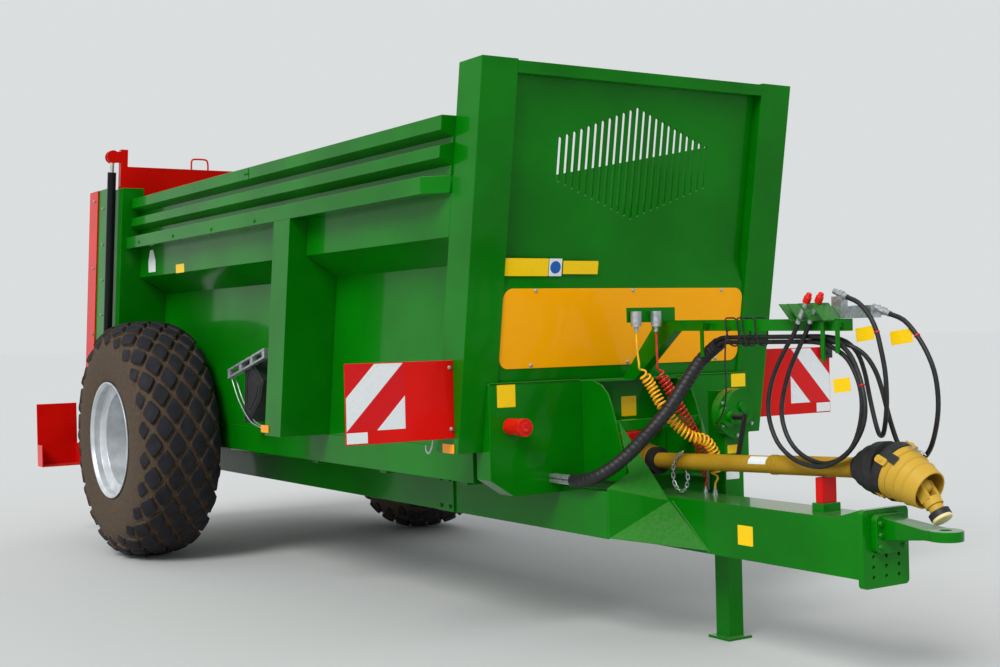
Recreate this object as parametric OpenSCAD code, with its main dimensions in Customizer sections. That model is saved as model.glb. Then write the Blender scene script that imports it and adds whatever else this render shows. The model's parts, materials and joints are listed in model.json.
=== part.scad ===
// Rear-discharge manure spreader, single axle, parked on its jack.
// Millimetres. +Z up, the drawbar points along -Y, the load space along +Y.
// The origin lies on the ground, midway between the tow eye's tip and the lamp
// carriers, on the centre line. Left and right are the driver's, so left is +X.

/* [Overall] */
// From the front posts' foot forward to the tip of the tow eye
drawbar_reach = 2280; // [2100:10:2500]
// From the front posts' foot to the rear face of the rear posts
body_l = 5020; // [4700:10:5400]
// From the rear face of the rear posts to the back of the lamp carriers
rear_reach = 960; // [900:10:1100]
// Forward lean of the posts, front wall, door and beaters, in degrees
lean = 9.2; // [6:0.1:11]

/* [Body] */
// Half the width over the front posts
half_w = 1040; // [1000:5:1060]
// How far the lower walls stand inside the upper ones
ledge_w = 216; // [200:2:240]
// Underside of the side walls
floor_z = 1000; // [970:5:1030]
// Top of the load floor
load_z = 1040; // [1030:2:1070]
// Foot of the sloping ledge in the side walls
ledge_low_z = 1980; // [1900:5:2050]
// Top of the sloping ledge in the side walls
ledge_high_z = 2110; // [2080:5:2180]
// Underside of the top rail
rail_z = 2330; // [2280:5:2400]
// Height of the top rail
rail_h = 90; // [70:5:110]
// How far the top rails and middle posts stand outside the upper walls
rail_w = 120; // [90:5:130]
// Thickness of a wall with its folds
wall_t = 12; // [8:1:20]
// Front to back depth of a front post
post_d = 218; // [180:2:260]
// Top of the front posts
post_top_z = 2978; // [2900:2:3050]
// Height of the extension board above the top rail
board_h = 296; // [240:2:340]
// Depth of a middle post along the body
mid_post_d = 235; // [200:5:270]

/* [Front wall] */
// How far the upper front wall lies behind the posts' front
panel_recess = 60; // [40:2:80]
// Height of the fold where the front wall steps forward
panel_fold_z = 2000; // [1960:5:2060]
// Number of slots in the front wall's window
slot_n = 23; // [15:2:25]
// Spacing of the slots
slot_pitch = 45; // [44:1:50]
// Width of one slot
slot_w = 22; // [16:1:26]
// Height of the window's middle
window_z = 2505; // [2480:5:2530]
// Half the height of the window's middle slot
window_half_h = 285; // [240:5:300]
// Half the height of the window's outer slots
window_side_half_h = 105; // [60:5:140]
// Margin between the plain plate and the front wall's edge
plate_margin = 4; // [4:2:60]
// Height of the plain plate
plate_h = 414; // [360:2:430]
// Lower edge of the plain plate
plate_z = 1424; // [1410:2:1440]

/* [Chassis] */
// Half the width over the chassis beams
beam_half_w = 450; // [420:5:480]
// Underside of the chassis beams
beam_z = 560; // [540:5:580]
// Height of a chassis beam
beam_h = 240; // [220:5:260]
// Width of a chassis beam
beam_w = 80; // [60:5:100]
// Half the width of the drawbar
drawbar_half_w = 130; // [120:2:140]
// Height of the drawbar at its front end
drawbar_h = 260; // [240:5:280]
// Underside of the drawbar
drawbar_z = 500; // [480:5:520]
// Bore of the tow eye
eye_bore = 50; // [40:1:60]

/* [Running gear] */
// Radius of a tyre over its lugs
tyre_r = 880; // [850:5:900]
// Width of a tyre
tyre_w = 600; // [560:5:620]
// Distance of a tyre's middle from the centre line
track_half = 1175; // [1165:5:1200]
// From the rear face of the rear posts forward to the axle
axle_ahead = 730; // [700:10:1000]
// Radius of a rim's flange
rim_r = 432; // [420:1:440]
// Height of the square axle beam
axle_h = 110; // [100:2:120]
// Radius of a wheel spindle
spindle_r = 45; // [40:1:50]

/* [Jack] */
// Side of the square jack leg
leg_w = 100; // [80:1:110]
// Travel of the jack leg
leg_travel = 400; // [300:10:400]

/* [Rear] */
// Top of the beater housing
housing_z = 2830; // [2780:5:2860]
// Half the width of the door over its stiles
door_half_w = 1184; // [1178:2:1196]
// Top of the door's panel
door_top_z = 2975; // [2900:5:3020]
// How far the door opens
door_travel = 1000; // [800:10:1050]
// Distance of a beater's axis from the centre line
beater_x = 580; // [560:5:600]
// From the rear face of the rear posts back to the beaters' axes
beater_gap = 460; // [455:5:480]
// Radius over a beater's blades
beater_r = 360; // [320:5:370]
// Radius of a beater's tube
beater_tube_r = 75; // [60:5:100]

/* [Drive shaft] */
// Radius of the drive shaft's guard tube
guard_r = 46; // [40:1:48]

/* [Hoses] */
// Radius of a hydraulic hose
hose_r = 11; // [8:0.5:11]
// Radius of the sleeve that gathers the hoses
sleeve_r = 35; // [30:1:40]

/* [Hidden] */
$fn = 48;

// Colours
GREEN = "#167a12";
DARK_GREEN = "#0d5a12";
RED = "#c8190f";
YELLOW = "#f0a80c";
GUARD_YELLOW = "#b89a30";
SILVER = "#c4c8ca";
RUBBER = "#4a443c";
BLACK = "#1c1c1e";

// Places across and along the body
lower_half_w = half_w - ledge_w;
rail_half_w = half_w + rail_w;
front_y = drawbar_reach - (drawbar_reach + body_l + rear_reach) / 2;
eye_tip_y = front_y - drawbar_reach;
rear_end_y = front_y + body_l + rear_reach;
axle_y = front_y + body_l - axle_ahead;
axle_z = tyre_r;
rail_top_z = rail_z + rail_h;
board_top_z = rail_top_z + board_h;
fit = 0.3; // gap between pieces that fit one in the other
clear = 6; // gap between pieces that pass each other

// Leaning geometry: eta is the distance behind the front posts' face, which
// leans forward; a point is given by its eta and its height.
function lean_y(z) = front_y - (z - floor_z) * tan(lean);
function at(eta, z) = [lean_y(z) + eta, z];

module along_x(x0, x1) {
  translate([x0, 0, 0]) rotate([90, 0, 90]) linear_extrude(height = x1 - x0) children();
}

module along_y(y0, y1) {
  translate([0, y1, 0]) rotate([90, 0, 0]) linear_extrude(height = y1 - y0) children();
}

module lean_bar(x0, x1, eta0, eta1, z0, z1) {
  along_x(x0, x1) polygon([at(eta0, z0), at(eta1, z0), at(eta1, z1), at(eta0, z1)]);
}

module block(x0, x1, y0, y1, z0, z1) {
  translate([x0, y0, z0]) cube([x1 - x0, y1 - y0, z1 - z0]);
}

module both() {
  children();
  mirror([1, 0, 0]) children();
}

// Chassis
beam_front_y = front_y - 465;
beam_rear_y = front_y + body_l + 330;
beam_top_z = beam_z + beam_h;
cross_top_z = floor_z - 30;
cross_d = 80;
cross_n = 6;
cross_first = 300;
cross_pitch = (body_l - cross_first - 2 * cross_d - 10) / (cross_n - 1);
function cross_eta(i) = cross_first + i * cross_pitch;

module chassis_beams() {
  color(GREEN) both() {
    block(beam_half_w - beam_w, beam_half_w, beam_front_y, beam_rear_y, beam_z, beam_top_z);
  }
}

module cross_members() {
  inner = lower_half_w - 2 * wall_t;
  color(GREEN) for (i = [0 : cross_n - 1]) translate([0, front_y + cross_eta(i), 0])
    block(-inner, inner, 0, cross_d, beam_top_z, cross_top_z);
}

// Drawbar with its flared plates and the hitch plate
eye_reach = 430; // from the tow eye's tip back to the back of the head plate
head_back_y = eye_tip_y + eye_reach;
head_t = 30;
head_z = 463;
head_h = 345;
head_half_w = 145;
drawbar_top_z = drawbar_z + drawbar_h;

module drawbar() {
  color(GREEN) {
    block(-drawbar_half_w, drawbar_half_w, head_back_y, beam_front_y + 400, drawbar_z,
      drawbar_top_z);
    block(-rest_half_w - 10, rest_half_w + 10, rest_y - rest_half_d - 14,
      rest_y + rest_half_d + 14, drawbar_top_z - 1, drawbar_top_z + rest_base_h);
  }
}

hood_half_w = 290; // over the side plates of the tunnel behind the flare plates
hood_t = 10;

// Flare plate between the drawbar and a chassis beam, drawn as a sheet whose depth
// along Y is wall_t; its corners are [x, y, z]
flare_foot = [drawbar_half_w, front_y - 868, drawbar_z + 15];
flare_head = [drawbar_half_w, front_y - 572, drawbar_top_z - 24];
flare_low = [beam_half_w, beam_front_y - wall_t - fit, beam_z + 5];
flare_out = [beam_half_w, beam_front_y - wall_t - fit, beam_top_z + 16];
flare_in = [hood_half_w, front_y - 450, 880];
flare_top = [hood_half_w - hood_t - 1, front_y - 359, 1145];

module flare() {
  corners = [flare_low, flare_foot, flare_head, flare_top, flare_in, flare_out];
  n = len(corners);
  front = [[0, 1, 2], [0, 2, 5], [5, 2, 4], [4, 2, 3]];
  polyhedron(
    points = concat(corners, [for (p = corners) p + [0, wall_t, 0]]),
    faces = concat(
      front,
      [for (f = front) [f[2] + n, f[1] + n, f[0] + n]],
      [for (i = [0 : n - 1]) each let (j = (i + 1) % n) [[j, i, i + n], [j, i + n, j + n]]]
    )
  );
}

module flare_plates() {
  pocket = column_w / 2 + clear;
  color(GREEN) {
    mirror([1, 0, 0]) flare();
    difference() {
      flare();
      block(drawbar_half_w - 1, jack_x + pocket, jack_y - pocket, jack_y + pocket,
        drawbar_z - 1, flare_top[2] + 1);
    }
  }
}

// Rectangle with round corners, drawn about the middle of its lower edge
module rounded(w, h, r) {
  translate([-w / 2 + r, 0]) square([w - 2 * r, h]);
  translate([-w / 2, r]) square([w, h - 2 * r]);
  for (x = [r - w / 2, w / 2 - r], z = [r, h - r]) translate([x, z]) circle(r = r);
}

gusset_l = 150;
gusset_h = 46;

module hitch_plate() {
  front = head_back_y - head_t;
  color(GREEN) difference() {
    union() {
      along_y(front, head_back_y) translate([0, head_z]) rounded(2 * head_half_w, head_h, 22);
      for (x = [-drawbar_half_w, drawbar_half_w - wall_t]) along_x(x, x + wall_t) polygon([
        [head_back_y - 1, drawbar_top_z], [head_back_y + gusset_l, drawbar_top_z],
        [head_back_y - 1, drawbar_top_z + gusset_h]
      ]);
    }
    for (x = [-80, 0, 80], z = [510, 555, 600]) {
      translate([x, front - 1, z]) rotate([-90, 0, 0])
        cylinder(h = head_t + 2, r = 9, $fn = 24);
    }
  }
}

eye_z = 722;
eye_ring_r = 75;
eye_y = eye_tip_y + eye_ring_r;
eye_t = 44;

eye_flange_t = 34;
eye_flange_w = 190;
eye_flange_h = 170;
shank_h = 104;

module tow_eye() {
  plate_y = head_back_y - head_t;
  neck_y = eye_y + eye_ring_r * 0.8;
  color(GREEN) difference() {
    union() {
      along_y(plate_y - eye_flange_t, plate_y) translate([0, eye_z - eye_flange_h * 0.62])
        rounded(eye_flange_w, eye_flange_h, 30);
      for (x = [-1, 1], z = [-76, -25, 26]) translate([x * 72, plate_y, eye_z + z])
        rotate([90, 0, 0]) cylinder(h = eye_flange_t + 12, r = 12, $fn = 6);
      intersection() {
        translate([0, 0, eye_z - shank_h]) linear_extrude(height = 2 * shank_h) union() {
          polygon([[-50, plate_y - 10], [50, plate_y - 10], [eye_ring_r * 0.9, neck_y],
            [eye_ring_r * 0.9, eye_y], [-eye_ring_r * 0.9, eye_y], [-eye_ring_r * 0.9, neck_y]]);
          translate([0, eye_y]) circle(r = eye_ring_r);
        }
        along_x(-eye_ring_r - 1, eye_ring_r + 1) polygon([
          [eye_tip_y, eye_z - eye_t / 2], [neck_y, eye_z - eye_t / 2],
          [plate_y - 10, eye_z - shank_h / 2], [plate_y - 10, eye_z + shank_h / 2],
          [neck_y, eye_z + eye_t / 2], [eye_tip_y, eye_z + eye_t / 2]
        ]);
      }
    }
    translate([0, eye_y, eye_z - eye_t]) cylinder(h = eye_t * 2, r = eye_bore / 2);
  }
}

// Jack beside the drawbar
column_wall = 6;
column_in = leg_w + 2 * clear;
column_w = column_in + 2 * column_wall;
jack_x = drawbar_half_w + 28 + column_w / 2;
jack_y = front_y - 615;
column_z = drawbar_z + 20;
column_top_z = 1286;
foot_t = 14;

module square_bar(w, z0, z1) {
  translate([jack_x - w / 2, jack_y - w / 2, z0]) cube([w, w, z1 - z0]);
}

// Gear case on the column's front face: a round plate and, on it, an egg-shaped cover
// whose small end holds the crank's shaft
gear_x = 200;
gear_z = 1172;
gear_r = 128;
gear_t = 52;
cover_t = 34;
cover_r = 94;
cover_z = 1206;
crank_x = 124;
crank_z = 1160;
crank_boss_r = 52;
column_front_y = jack_y - column_w / 2;

module gear_disc(x, z, r, y, t) {
  translate([x, y, z]) rotate([90, 0, 0]) cylinder(h = t, r = r);
}

module jack_column() {
  cover_y = column_front_y - gear_t + 1;
  color(GREEN) {
    difference() {
      union() {
        square_bar(column_w, column_z, column_top_z);
        block(drawbar_half_w, jack_x, jack_y - 50, jack_y + 50, drawbar_z + 40, drawbar_top_z - 20);
        gear_disc(gear_x, gear_z, gear_r, column_front_y + 1, gear_t);
        gear_disc(gear_x, cover_z, cover_r, cover_y, cover_t);
        gear_disc(crank_x, crank_z, crank_boss_r, cover_y, cover_t);
        gear_disc(gear_x + 6, cover_z, 26, cover_y, cover_t + 16);
        gear_disc(crank_x, crank_z, 28, cover_y, cover_t + 26);
      }
      square_bar(column_in, column_z - 1, column_top_z - 10);
    }
    difference() {
      square_bar(column_in, column_z, column_z + 30);
      square_bar(leg_w + 2 * fit, column_z - 1, column_z + 31);
    }
  }
}

// Crank, folded down beside the column
crank_y = column_front_y - gear_t - cover_t - 25;
crank_l = 250;

module jack_crank() {
  elbow_y = crank_y - 70;
  color(BLACK) {
    gear_disc(crank_x, crank_z, 14, crank_y - fit, 70 + fit);
    translate([crank_x, elbow_y, crank_z]) rotate([0, 14, 0]) {
      translate([-11, -14, -crank_l]) cube([22, 14, crank_l + 16]);
      translate([0, -14, -crank_l + 16]) rotate([90, 0, 0]) cylinder(h = 90, r = 13);
    }
  }
}

module jack_leg() {
  color(GREEN) square_bar(leg_w, foot_t, column_top_z - 20 - leg_travel);
  color(GREEN) square_bar(leg_w + 60, 0, foot_t);
}

// Front wall: recessed above the fold, forward of it below
panel_low_recess = 14;
panel_low_fold_z = 1860;

module front_wall() {
  t = wall_t;
  color(GREEN) difference() {
    along_x(-lower_half_w, lower_half_w) polygon([
      at(panel_low_recess, floor_z), at(panel_low_recess + t, floor_z),
      at(panel_low_recess + t, panel_low_fold_z), at(panel_recess + t, panel_fold_z),
      at(panel_recess + t, post_top_z - 8), at(0, post_top_z - 8),
      at(0, post_top_z - 68), at(panel_recess, post_top_z - 68),
      at(panel_recess, panel_fold_z), at(panel_low_recess, panel_low_fold_z)
    ]);
    for (i = [0 : slot_n - 1]) slot(i);
  }
}

// One slot of the window; i counts from the right-hand end
module slot(i) {
  middle = (slot_n - 1) / 2;
  share = abs(i - middle) / middle;
  half_h = window_half_h + (window_side_half_h - window_half_h) * share;
  x = (i - middle) * slot_pitch;
  eta = panel_recess + wall_t / 2;
  translate([x, lean_y(window_z) + eta, window_z]) {
    translate([-slot_w / 2, -100, -half_h]) cube([slot_w, 200, 2 * half_h]);
    for (s = [-1, 1]) translate([0, 100, s * half_h]) rotate([90, 0, 0])
      cylinder(h = 200, r = slot_w / 2, $fn = 20);
  }
}

module front_posts() {
  color(GREEN) both() lean_bar(lower_half_w + fit, half_w, 0, post_d, floor_z, post_top_z);
}

front_plate_t = 4;
front_plate_r = 60;

module front_plate() {
  half = lower_half_w - plate_margin;
  color(YELLOW) intersection() {
    lean_bar(-half, half, panel_low_recess - front_plate_t - fit, panel_low_recess - fit,
      plate_z, plate_z + plate_h);
    along_y(front_y - 400, front_y + 400) translate([0, plate_z])
      rounded(2 * half, plate_h, front_plate_r);
  }
}

// Box in front of the floor, under the plate
box_half_w = 890;
box_y = front_y - 70;
box_top_z = 1354;
box_side_z = 858;
box_bottom_z = 768;
box_chamfer_w = 140;

module front_box() {
  opening_w = hood_half_w - 28;
  color(GREEN) difference() {
    intersection() {
      along_y(box_y, front_y + 60) polygon([
        [-box_half_w, box_top_z], [-box_half_w, box_side_z],
        [-box_half_w + box_chamfer_w, box_bottom_z], [box_half_w - box_chamfer_w, box_bottom_z],
        [box_half_w, box_side_z], [box_half_w, box_top_z]
      ]);
      along_x(-box_half_w, box_half_w) polygon([
        [box_y, box_bottom_z], [front_y + 60, box_bottom_z],
        at(0, floor_z) + [60, 0], at(0, floor_z), at(0, box_top_z), [box_y, box_top_z - 6]
      ]);
    }
    block(-beam_half_w, beam_half_w, box_y - 1, front_y + 61, box_bottom_z - 1, beam_top_z + 1);
    block(-opening_w, opening_w, box_y - 1, front_y - 20, beam_top_z, bar_z);
  }
}

tube_x = -765;
tube_z = 1130;
tube_l = 132;

module document_tube() {
  color(RED) translate([tube_x, box_y, tube_z]) rotate([90, 0, 0]) {
    cylinder(h = tube_l, r = 43);
    translate([0, 0, tube_l - 26]) cylinder(h = 38, r = 46);
    translate([0, 0, tube_l + 11]) cylinder(h = 8, r = 24);
  }
}

// Tunnel over the drive shaft's rear joint
hood_top_z = box_top_z - 4;
hood_flange_d = 100;
bar_z = 1088; // cross bar between the side plates
bar_h = 56;
bar_d = 40;
bar_ahead = 275;

module pto_hood() {
  inner = hood_half_w - hood_t;
  color(GREEN) {
    both() along_x(inner, hood_half_w) polygon([
      [box_y, hood_top_z], [box_y - 76, hood_top_z], [box_y - 157, hood_top_z - 22],
      [box_y - 212, 1282], [box_y - 247, 1210], [box_y - 285, 1102], [box_y - 328, 977],
      [box_y - 350, 900], [box_y - 350, 830], [box_y, 830]
    ]);
    block(-inner, inner, box_y - hood_flange_d, box_y, hood_top_z - 10, hood_top_z);
    block(-inner, inner, box_y - bar_ahead, box_y - bar_ahead + bar_d, bar_z, bar_z + bar_h);
  }
}

// Side walls
ledge_angle = atan2(ledge_high_z - ledge_low_z, half_w - lower_half_w);
ledge_rise = wall_t * (1 - sin(ledge_angle)) / cos(ledge_angle);

module wall_profile() {
  polygon([
    [lower_half_w, floor_z], [lower_half_w, ledge_low_z], [half_w, ledge_high_z],
    [half_w, rail_top_z], [half_w - wall_t, rail_top_z],
    [half_w - wall_t, ledge_high_z + ledge_rise],
    [lower_half_w - wall_t, ledge_low_z + ledge_rise], [lower_half_w - wall_t, floor_z]
  ]);
}

module wall() {
  back = panel_low_recess + wall_t + fit;
  difference() {
    intersection() {
      along_y(front_y - 400, front_y + body_l) wall_profile();
      along_x(lower_half_w - 2 * wall_t, half_w + 1) polygon([
        at(back, floor_z - 1), at(back, panel_low_fold_z),
        at(panel_recess + wall_t + fit, panel_fold_z),
        at(panel_recess + wall_t + fit, rail_top_z + 1),
        at(body_l, rail_top_z + 1), at(body_l, floor_z - 1)
      ]);
    }
    lean_bar(lower_half_w, half_w + 1, -1, post_d + fit, floor_z - 1, rail_top_z + 1);
    lean_bar(lower_half_w, half_w + 1, body_l - rear_post_d - fit, body_l + 1,
      floor_z - 1, rail_top_z + 1);
  }
}

module wall_left() { color(GREEN) wall(); }
module wall_right() { color(GREEN) mirror([1, 0, 0]) wall(); }

sill_z = 820;

module side_sills() {
  color(GREEN) both() difference() {
    block(lower_half_w - 2 * wall_t, lower_half_w, front_y + 200, front_y + body_l - 150,
      sill_z, floor_z);
    block(0, half_w, axle_y - axle_h / 2, axle_y + axle_h / 2, sill_z - 1,
      axle_z + axle_h / 2);
  }
}

module top_rails() {
  bevel = rail_half_w - half_w;
  y0 = lean_y(rail_top_z) + post_d;
  color(GREEN) both() intersection() {
    translate([0, 0, rail_z]) linear_extrude(height = rail_h) polygon([
      [half_w, y0], [rail_half_w, y0 + bevel],
      [rail_half_w, front_y + body_l], [half_w, front_y + body_l]
    ]);
    lean_bar(half_w, rail_half_w, post_d, body_l - rear_post_d - fit, rail_z, rail_top_z);
  }
}

mid_eta = 0.38 * body_l - 8;

module mid_posts() {
  color(GREEN) both() intersection() {
    along_y(front_y, front_y + body_l) polygon([
      [lower_half_w, floor_z], [rail_half_w, floor_z], [rail_half_w, rail_z],
      [half_w, rail_z], [half_w, ledge_high_z], [lower_half_w, ledge_low_z]
    ]);
    lean_bar(lower_half_w, rail_half_w, mid_eta, mid_eta + mid_post_d, floor_z, rail_z);
  }
}

// Extension board with its two ribs
module extension() {
  x0 = half_w + 10;
  x1 = half_w + 84;
  z = rail_top_z;
  intersection() {
    along_y(front_y - 400, front_y + body_l) polygon([
      [half_w - wall_t, z], [x0, z], [x0, z + 50], [x1, z + 84], [x1, z + 146], [x0, z + 164],
      [x0, z + 192], [x1, z + 222], [x1, z + board_h], [half_w - wall_t, z + board_h]
    ]);
    lean_bar(half_w - wall_t, x1, post_d + fit, body_l - rear_post_d - fit, z, z + board_h);
  }
}

module extension_left() { color(GREEN) extension(); }
module extension_right() { color(GREEN) mirror([1, 0, 0]) extension(); }

// Rear posts with the door's guides
rear_post_d = 100;
guide_top_z = 2800;
door_d = 50;
guide_web_x = door_half_w + clear;
guide_t = 10;
guide_back = body_l + door_d + 2 * clear;

step_z = 1640; // the rear frame is narrow below this, beside the wheels
narrow_half_w = lower_half_w + 40;

module rear_posts() {
  web = guide_web_x + guide_t;
  color(GREEN) both() {
    lean_bar(lower_half_w, narrow_half_w, body_l - rear_post_d, body_l, floor_z - 60, step_z);
    lean_bar(lower_half_w, web, body_l - rear_post_d, body_l, step_z, rail_top_z);
    lean_bar(half_w - wall_t, web, body_l - rear_post_d, body_l, rail_top_z, guide_top_z);
    lean_bar(guide_web_x, web, body_l, guide_back + guide_t, step_z, guide_top_z);
    lean_bar(guide_web_x - 50, guide_web_x, guide_back, guide_back + guide_t,
      step_z, guide_top_z);
  }
}

// Floor and the scraper chains that run round it
floor_half_w = lower_half_w - wall_t;
floor_t = 30;
floor_front_y = front_y + 140;
floor_rear_y = front_y + body_l - 60;
chain_xs = [90, 700];
chain_w = 40;
chain_t = 14;
slat_h = 26;
slat_d = 40;
slat_pitch = 320;

module floor() {
  color(GREEN) block(-floor_half_w, floor_half_w, floor_front_y, floor_rear_y,
    load_z - floor_t, load_z);
}

module apron() {
  mid_z = load_z - floor_t / 2;
  r = floor_t / 2 + chain_t;
  y0 = floor_front_y - chain_t - fit;
  y1 = floor_rear_y + chain_t + fit;
  n = floor((y1 - y0) / slat_pitch);
  color("#55504a") both() {
    for (x = chain_xs) translate([x - chain_w / 2, 0, 0]) difference() {
      block(0, chain_w, y0, y1, mid_z - r, mid_z + r);
      block(-1, chain_w + 1, y0 + chain_t, y1 - chain_t, mid_z - floor_t / 2, mid_z + floor_t / 2);
    }
    for (i = [0 : n - 1]) translate([0, y0 + (i + 0.5) * slat_pitch, 0])
      block(chain_xs[0] - 30, chain_xs[1] + 30, 0, slat_d, mid_z + r, mid_z + r + slat_h);
  }
}

// Axle, brakes and the wheels
drum_r = 205;
drum_x0 = lower_half_w + clear;
drum_x1 = drum_x0 + 150;
hub_x0 = drum_x1 + clear;
hub_x1 = track_half + 60;
spindle_x1 = hub_x1 - 40;

module spin(x0, x1, r) {
  translate([x0, axle_y, axle_z]) rotate([0, 90, 0]) cylinder(h = x1 - x0, r = r);
}

module axle() {
  color(DARK_GREEN) {
    block(-drum_x0, drum_x0, axle_y - axle_h / 2, axle_y + axle_h / 2,
      axle_z - axle_h / 2, axle_z + axle_h / 2);
    both() {
      block(beam_half_w - beam_w, beam_half_w, axle_y - 120, axle_y + 120,
        beam_top_z, axle_z - axle_h / 2);
      spin(drum_x0, drum_x1, drum_r);
      spin(drum_x1, spindle_x1, spindle_r);
    }
  }
}

tank_r = 110;
tank_l = 600;

module air_tank() {
  y = front_y + cross_eta(3) + cross_d / 2;
  color(BLACK) translate([-tank_l / 2, y, beam_top_z - tank_r - fit]) rotate([0, 90, 0])
    cylinder(h = tank_l, r = tank_r);
}

// A wheel's sections are drawn as radius against distance from its middle
module turned() {
  translate([track_half, axle_y, axle_z]) rotate([0, 90, 0]) rotate_extrude($fn = 96) children();
}

bead_r = rim_r - 20;
rim_half_w = tyre_w / 2 - 18;

// Tyre: the tread is a lattice of diamond cells, tread_n steps round it and one column
// for each entry of tread_xs; a cell lies where step and column add up to an even
// number, and each carries a lug that rises from the grooves along the cell's edges.
tread_n = 48;
lug_h = 30;
lug_taper = 0.15;
// Offsets of the columns from the middle, and the drop of the tread there
tread_columns = [[-278, 52], [-216, 26], [-144, 7], [-72, 0], [0, 0], [72, 0], [144, 7],
  [216, 26], [278, 52]];
col_n = len(tread_columns);
step_n = tread_n / 2;
wall_half = tyre_w / 2;
bead_clear = 1;
// Rings of the side walls and the beads, from one edge of the tread to the other
tyre_rings = [
  column_ring(0), [-wall_half + 6, 735], [-wall_half, 640], [-wall_half + 12, 520],
  [-rim_half_w + 15, bead_r + bead_clear], [rim_half_w - 15, bead_r + bead_clear],
  [wall_half - 12, 520], [wall_half, 640], [wall_half - 6, 735], column_ring(col_n - 1)
];
ring_n = len(tyre_rings);
cell_base = ring_n * tread_n;
cell_top = cell_base + (col_n - 2) * step_n;
top_size = (col_n - 2) * step_n;

function column_ring(j) = [tread_columns[j][0], tyre_r - tread_columns[j][1] - lug_h];
function on_tyre(x, r, step) = [x, r * cos(step * 360 / tread_n), r * sin(step * 360 / tread_n)];
function wrap(i) = (i + tread_n) % tread_n;

// Index of the groove crossing at step i of column j, where i + j is odd
function crossing(i, j) =
  j == 0 ? wrap(i) :
  j == col_n - 1 ? (ring_n - 1) * tread_n + wrap(i) :
  cell_base + (j - 1) * step_n + floor(wrap(i) / 2);

// Index of corner q of the lug of the cell at step i of column j
function lug_corner(q, i, j) = cell_top + q * top_size + (j - 1) * step_n + floor(wrap(i) / 2);

function lug_point(q, i, j) =
  let (
    k = 1 - lug_taper,
    c = tread_columns[j],
    side = tread_columns[q == 1 ? j + 1 : j - 1],
    x = q % 2 == 0 ? c[0] : c[0] + k * (side[0] - c[0]),
    drop = q % 2 == 0 ? c[1] : c[1] + k * (side[1] - c[1]),
    step = i + (q == 0 ? k : q == 2 ? -k : 0)
  )
  on_tyre(x, tyre_r - drop, step);

module tyre() {
  rings = [for (ring = tyre_rings, i = [0 : tread_n - 1]) on_tyre(ring[0], ring[1], i)];
  crossings = [for (j = [1 : col_n - 2], m = [0 : step_n - 1])
    let (c = column_ring(j)) on_tyre(c[0], c[1], 2 * m + (j + 1) % 2)];
  lugs = [for (q = [0 : 3], j = [1 : col_n - 2], m = [0 : step_n - 1])
    lug_point(q, 2 * m + j % 2, j)];
  walls = [for (k = [0 : ring_n - 2], i = [0 : tread_n - 1])
    let (a = k * tread_n + i, b = k * tread_n + wrap(i + 1)) each
    [[a, b, b + tread_n], [a, b + tread_n, a + tread_n]]];
  cells = [for (j = [1 : col_n - 2], m = [0 : step_n - 1])
    let (i = 2 * m + j % 2) each cell_faces(i, j)];
  edges = [for (m = [0 : step_n - 1]) each
    concat(edge_faces(2 * m, 0, 1), edge_faces(2 * m + (col_n - 1) % 2, col_n - 1, -1))];
  translate([track_half, axle_y, axle_z])
    polyhedron(points = concat(rings, crossings, lugs), faces = concat(walls, cells, edges));
}

// The four flanks and the top of one lug
function cell_faces(i, j) =
  let (
    base = [crossing(i + 1, j), crossing(i, j + 1), crossing(i - 1, j), crossing(i, j - 1)],
    top = [for (q = [0 : 3]) lug_corner(q, i, j)]
  )
  concat(
    [for (q = [0 : 3]) each let (p = (q + 1) % 4)
      [[base[q], top[q], top[p]], [base[q], top[p], base[p]]]],
    [[top[0], top[3], top[1]], [top[1], top[3], top[2]]]
  );

// The half cell at step i on an edge of the tread, whose neighbour column is j + way
function edge_faces(i, j, way) =
  let (
    a = crossing(i - 1, j), b = crossing(i, j), c = crossing(i + 1, j), tip = crossing(i, j + way)
  )
  way > 0 ? [[b, a, tip], [c, b, tip]] : [[a, b, tip], [b, c, tip]];

module tyre_left() { color(RUBBER) tyre(); }
module tyre_right() { color(RUBBER) mirror([1, 0, 0]) tyre(); }

rim_t = 8;
disc_x = 1150;

module rim() {
  w = rim_half_w;
  b = bead_r - fit;
  d = disc_x - track_half;
  turned() polygon([
    [rim_r, w + 12], [rim_r, w + 2], [b, w - 14], [b, w - 60], [b - 60, w - 90],
    [b - 60, -w + 90], [b, -w + 60], [b, -w + 14], [rim_r, -w - 2], [rim_r, -w - 12],
    [rim_r - 10, -w - 12], [b - rim_t, -w + 10], [b - rim_t, -w + 54],
    [b - 60 - rim_t, -w + 84], [b - 60 - rim_t, w - 84], [b - rim_t, w - 54],
    [b - rim_t, w - 10], [rim_r - 10, w + 12]
  ]);
  turned() polygon([
    [spindle_r + fit, d], [b - 64, d - 30], [b - 64, d - 16], [spindle_r + fit + 160, d + 14],
    [spindle_r + fit, d + 14]
  ]);
  difference() {
    spin(hub_x0, hub_x1, 130);
    spin(hub_x0 - 1, spindle_x1 + 2, spindle_r + fit);
  }
}

module rim_left() { color(SILVER) rim(); }
module rim_right() { color(SILVER) mirror([1, 0, 0]) rim(); }

// Striped boards on the front posts
board_y = front_y + 30;
board_z = 1080;
board_out = 1660;
board_high = 400;

module warning_boards() {
  color(RED) both() {
    block(half_w, board_out, board_y - 6, board_y, board_z, board_z + board_high);
    block(half_w, half_w + 6, board_y, board_y + 50, board_z + 80, board_z + board_high - 80);
  }
}

// Chocks in their holders on the lower walls
chock_ahead = 1730; // ahead of the axle
chock_y = axle_y - chock_ahead;

module wheel_chocks() {
  color(SILVER) both() along_x(lower_half_w, lower_half_w + 160) polygon([
    [chock_y, 1330], [chock_y + 60, 1200], [chock_y + 240, 1060], [chock_y + 330, 1040],
    [chock_y + 330, 1110], [chock_y + 300, 1420], [chock_y + 240, 1500]
  ]);
}

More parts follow.
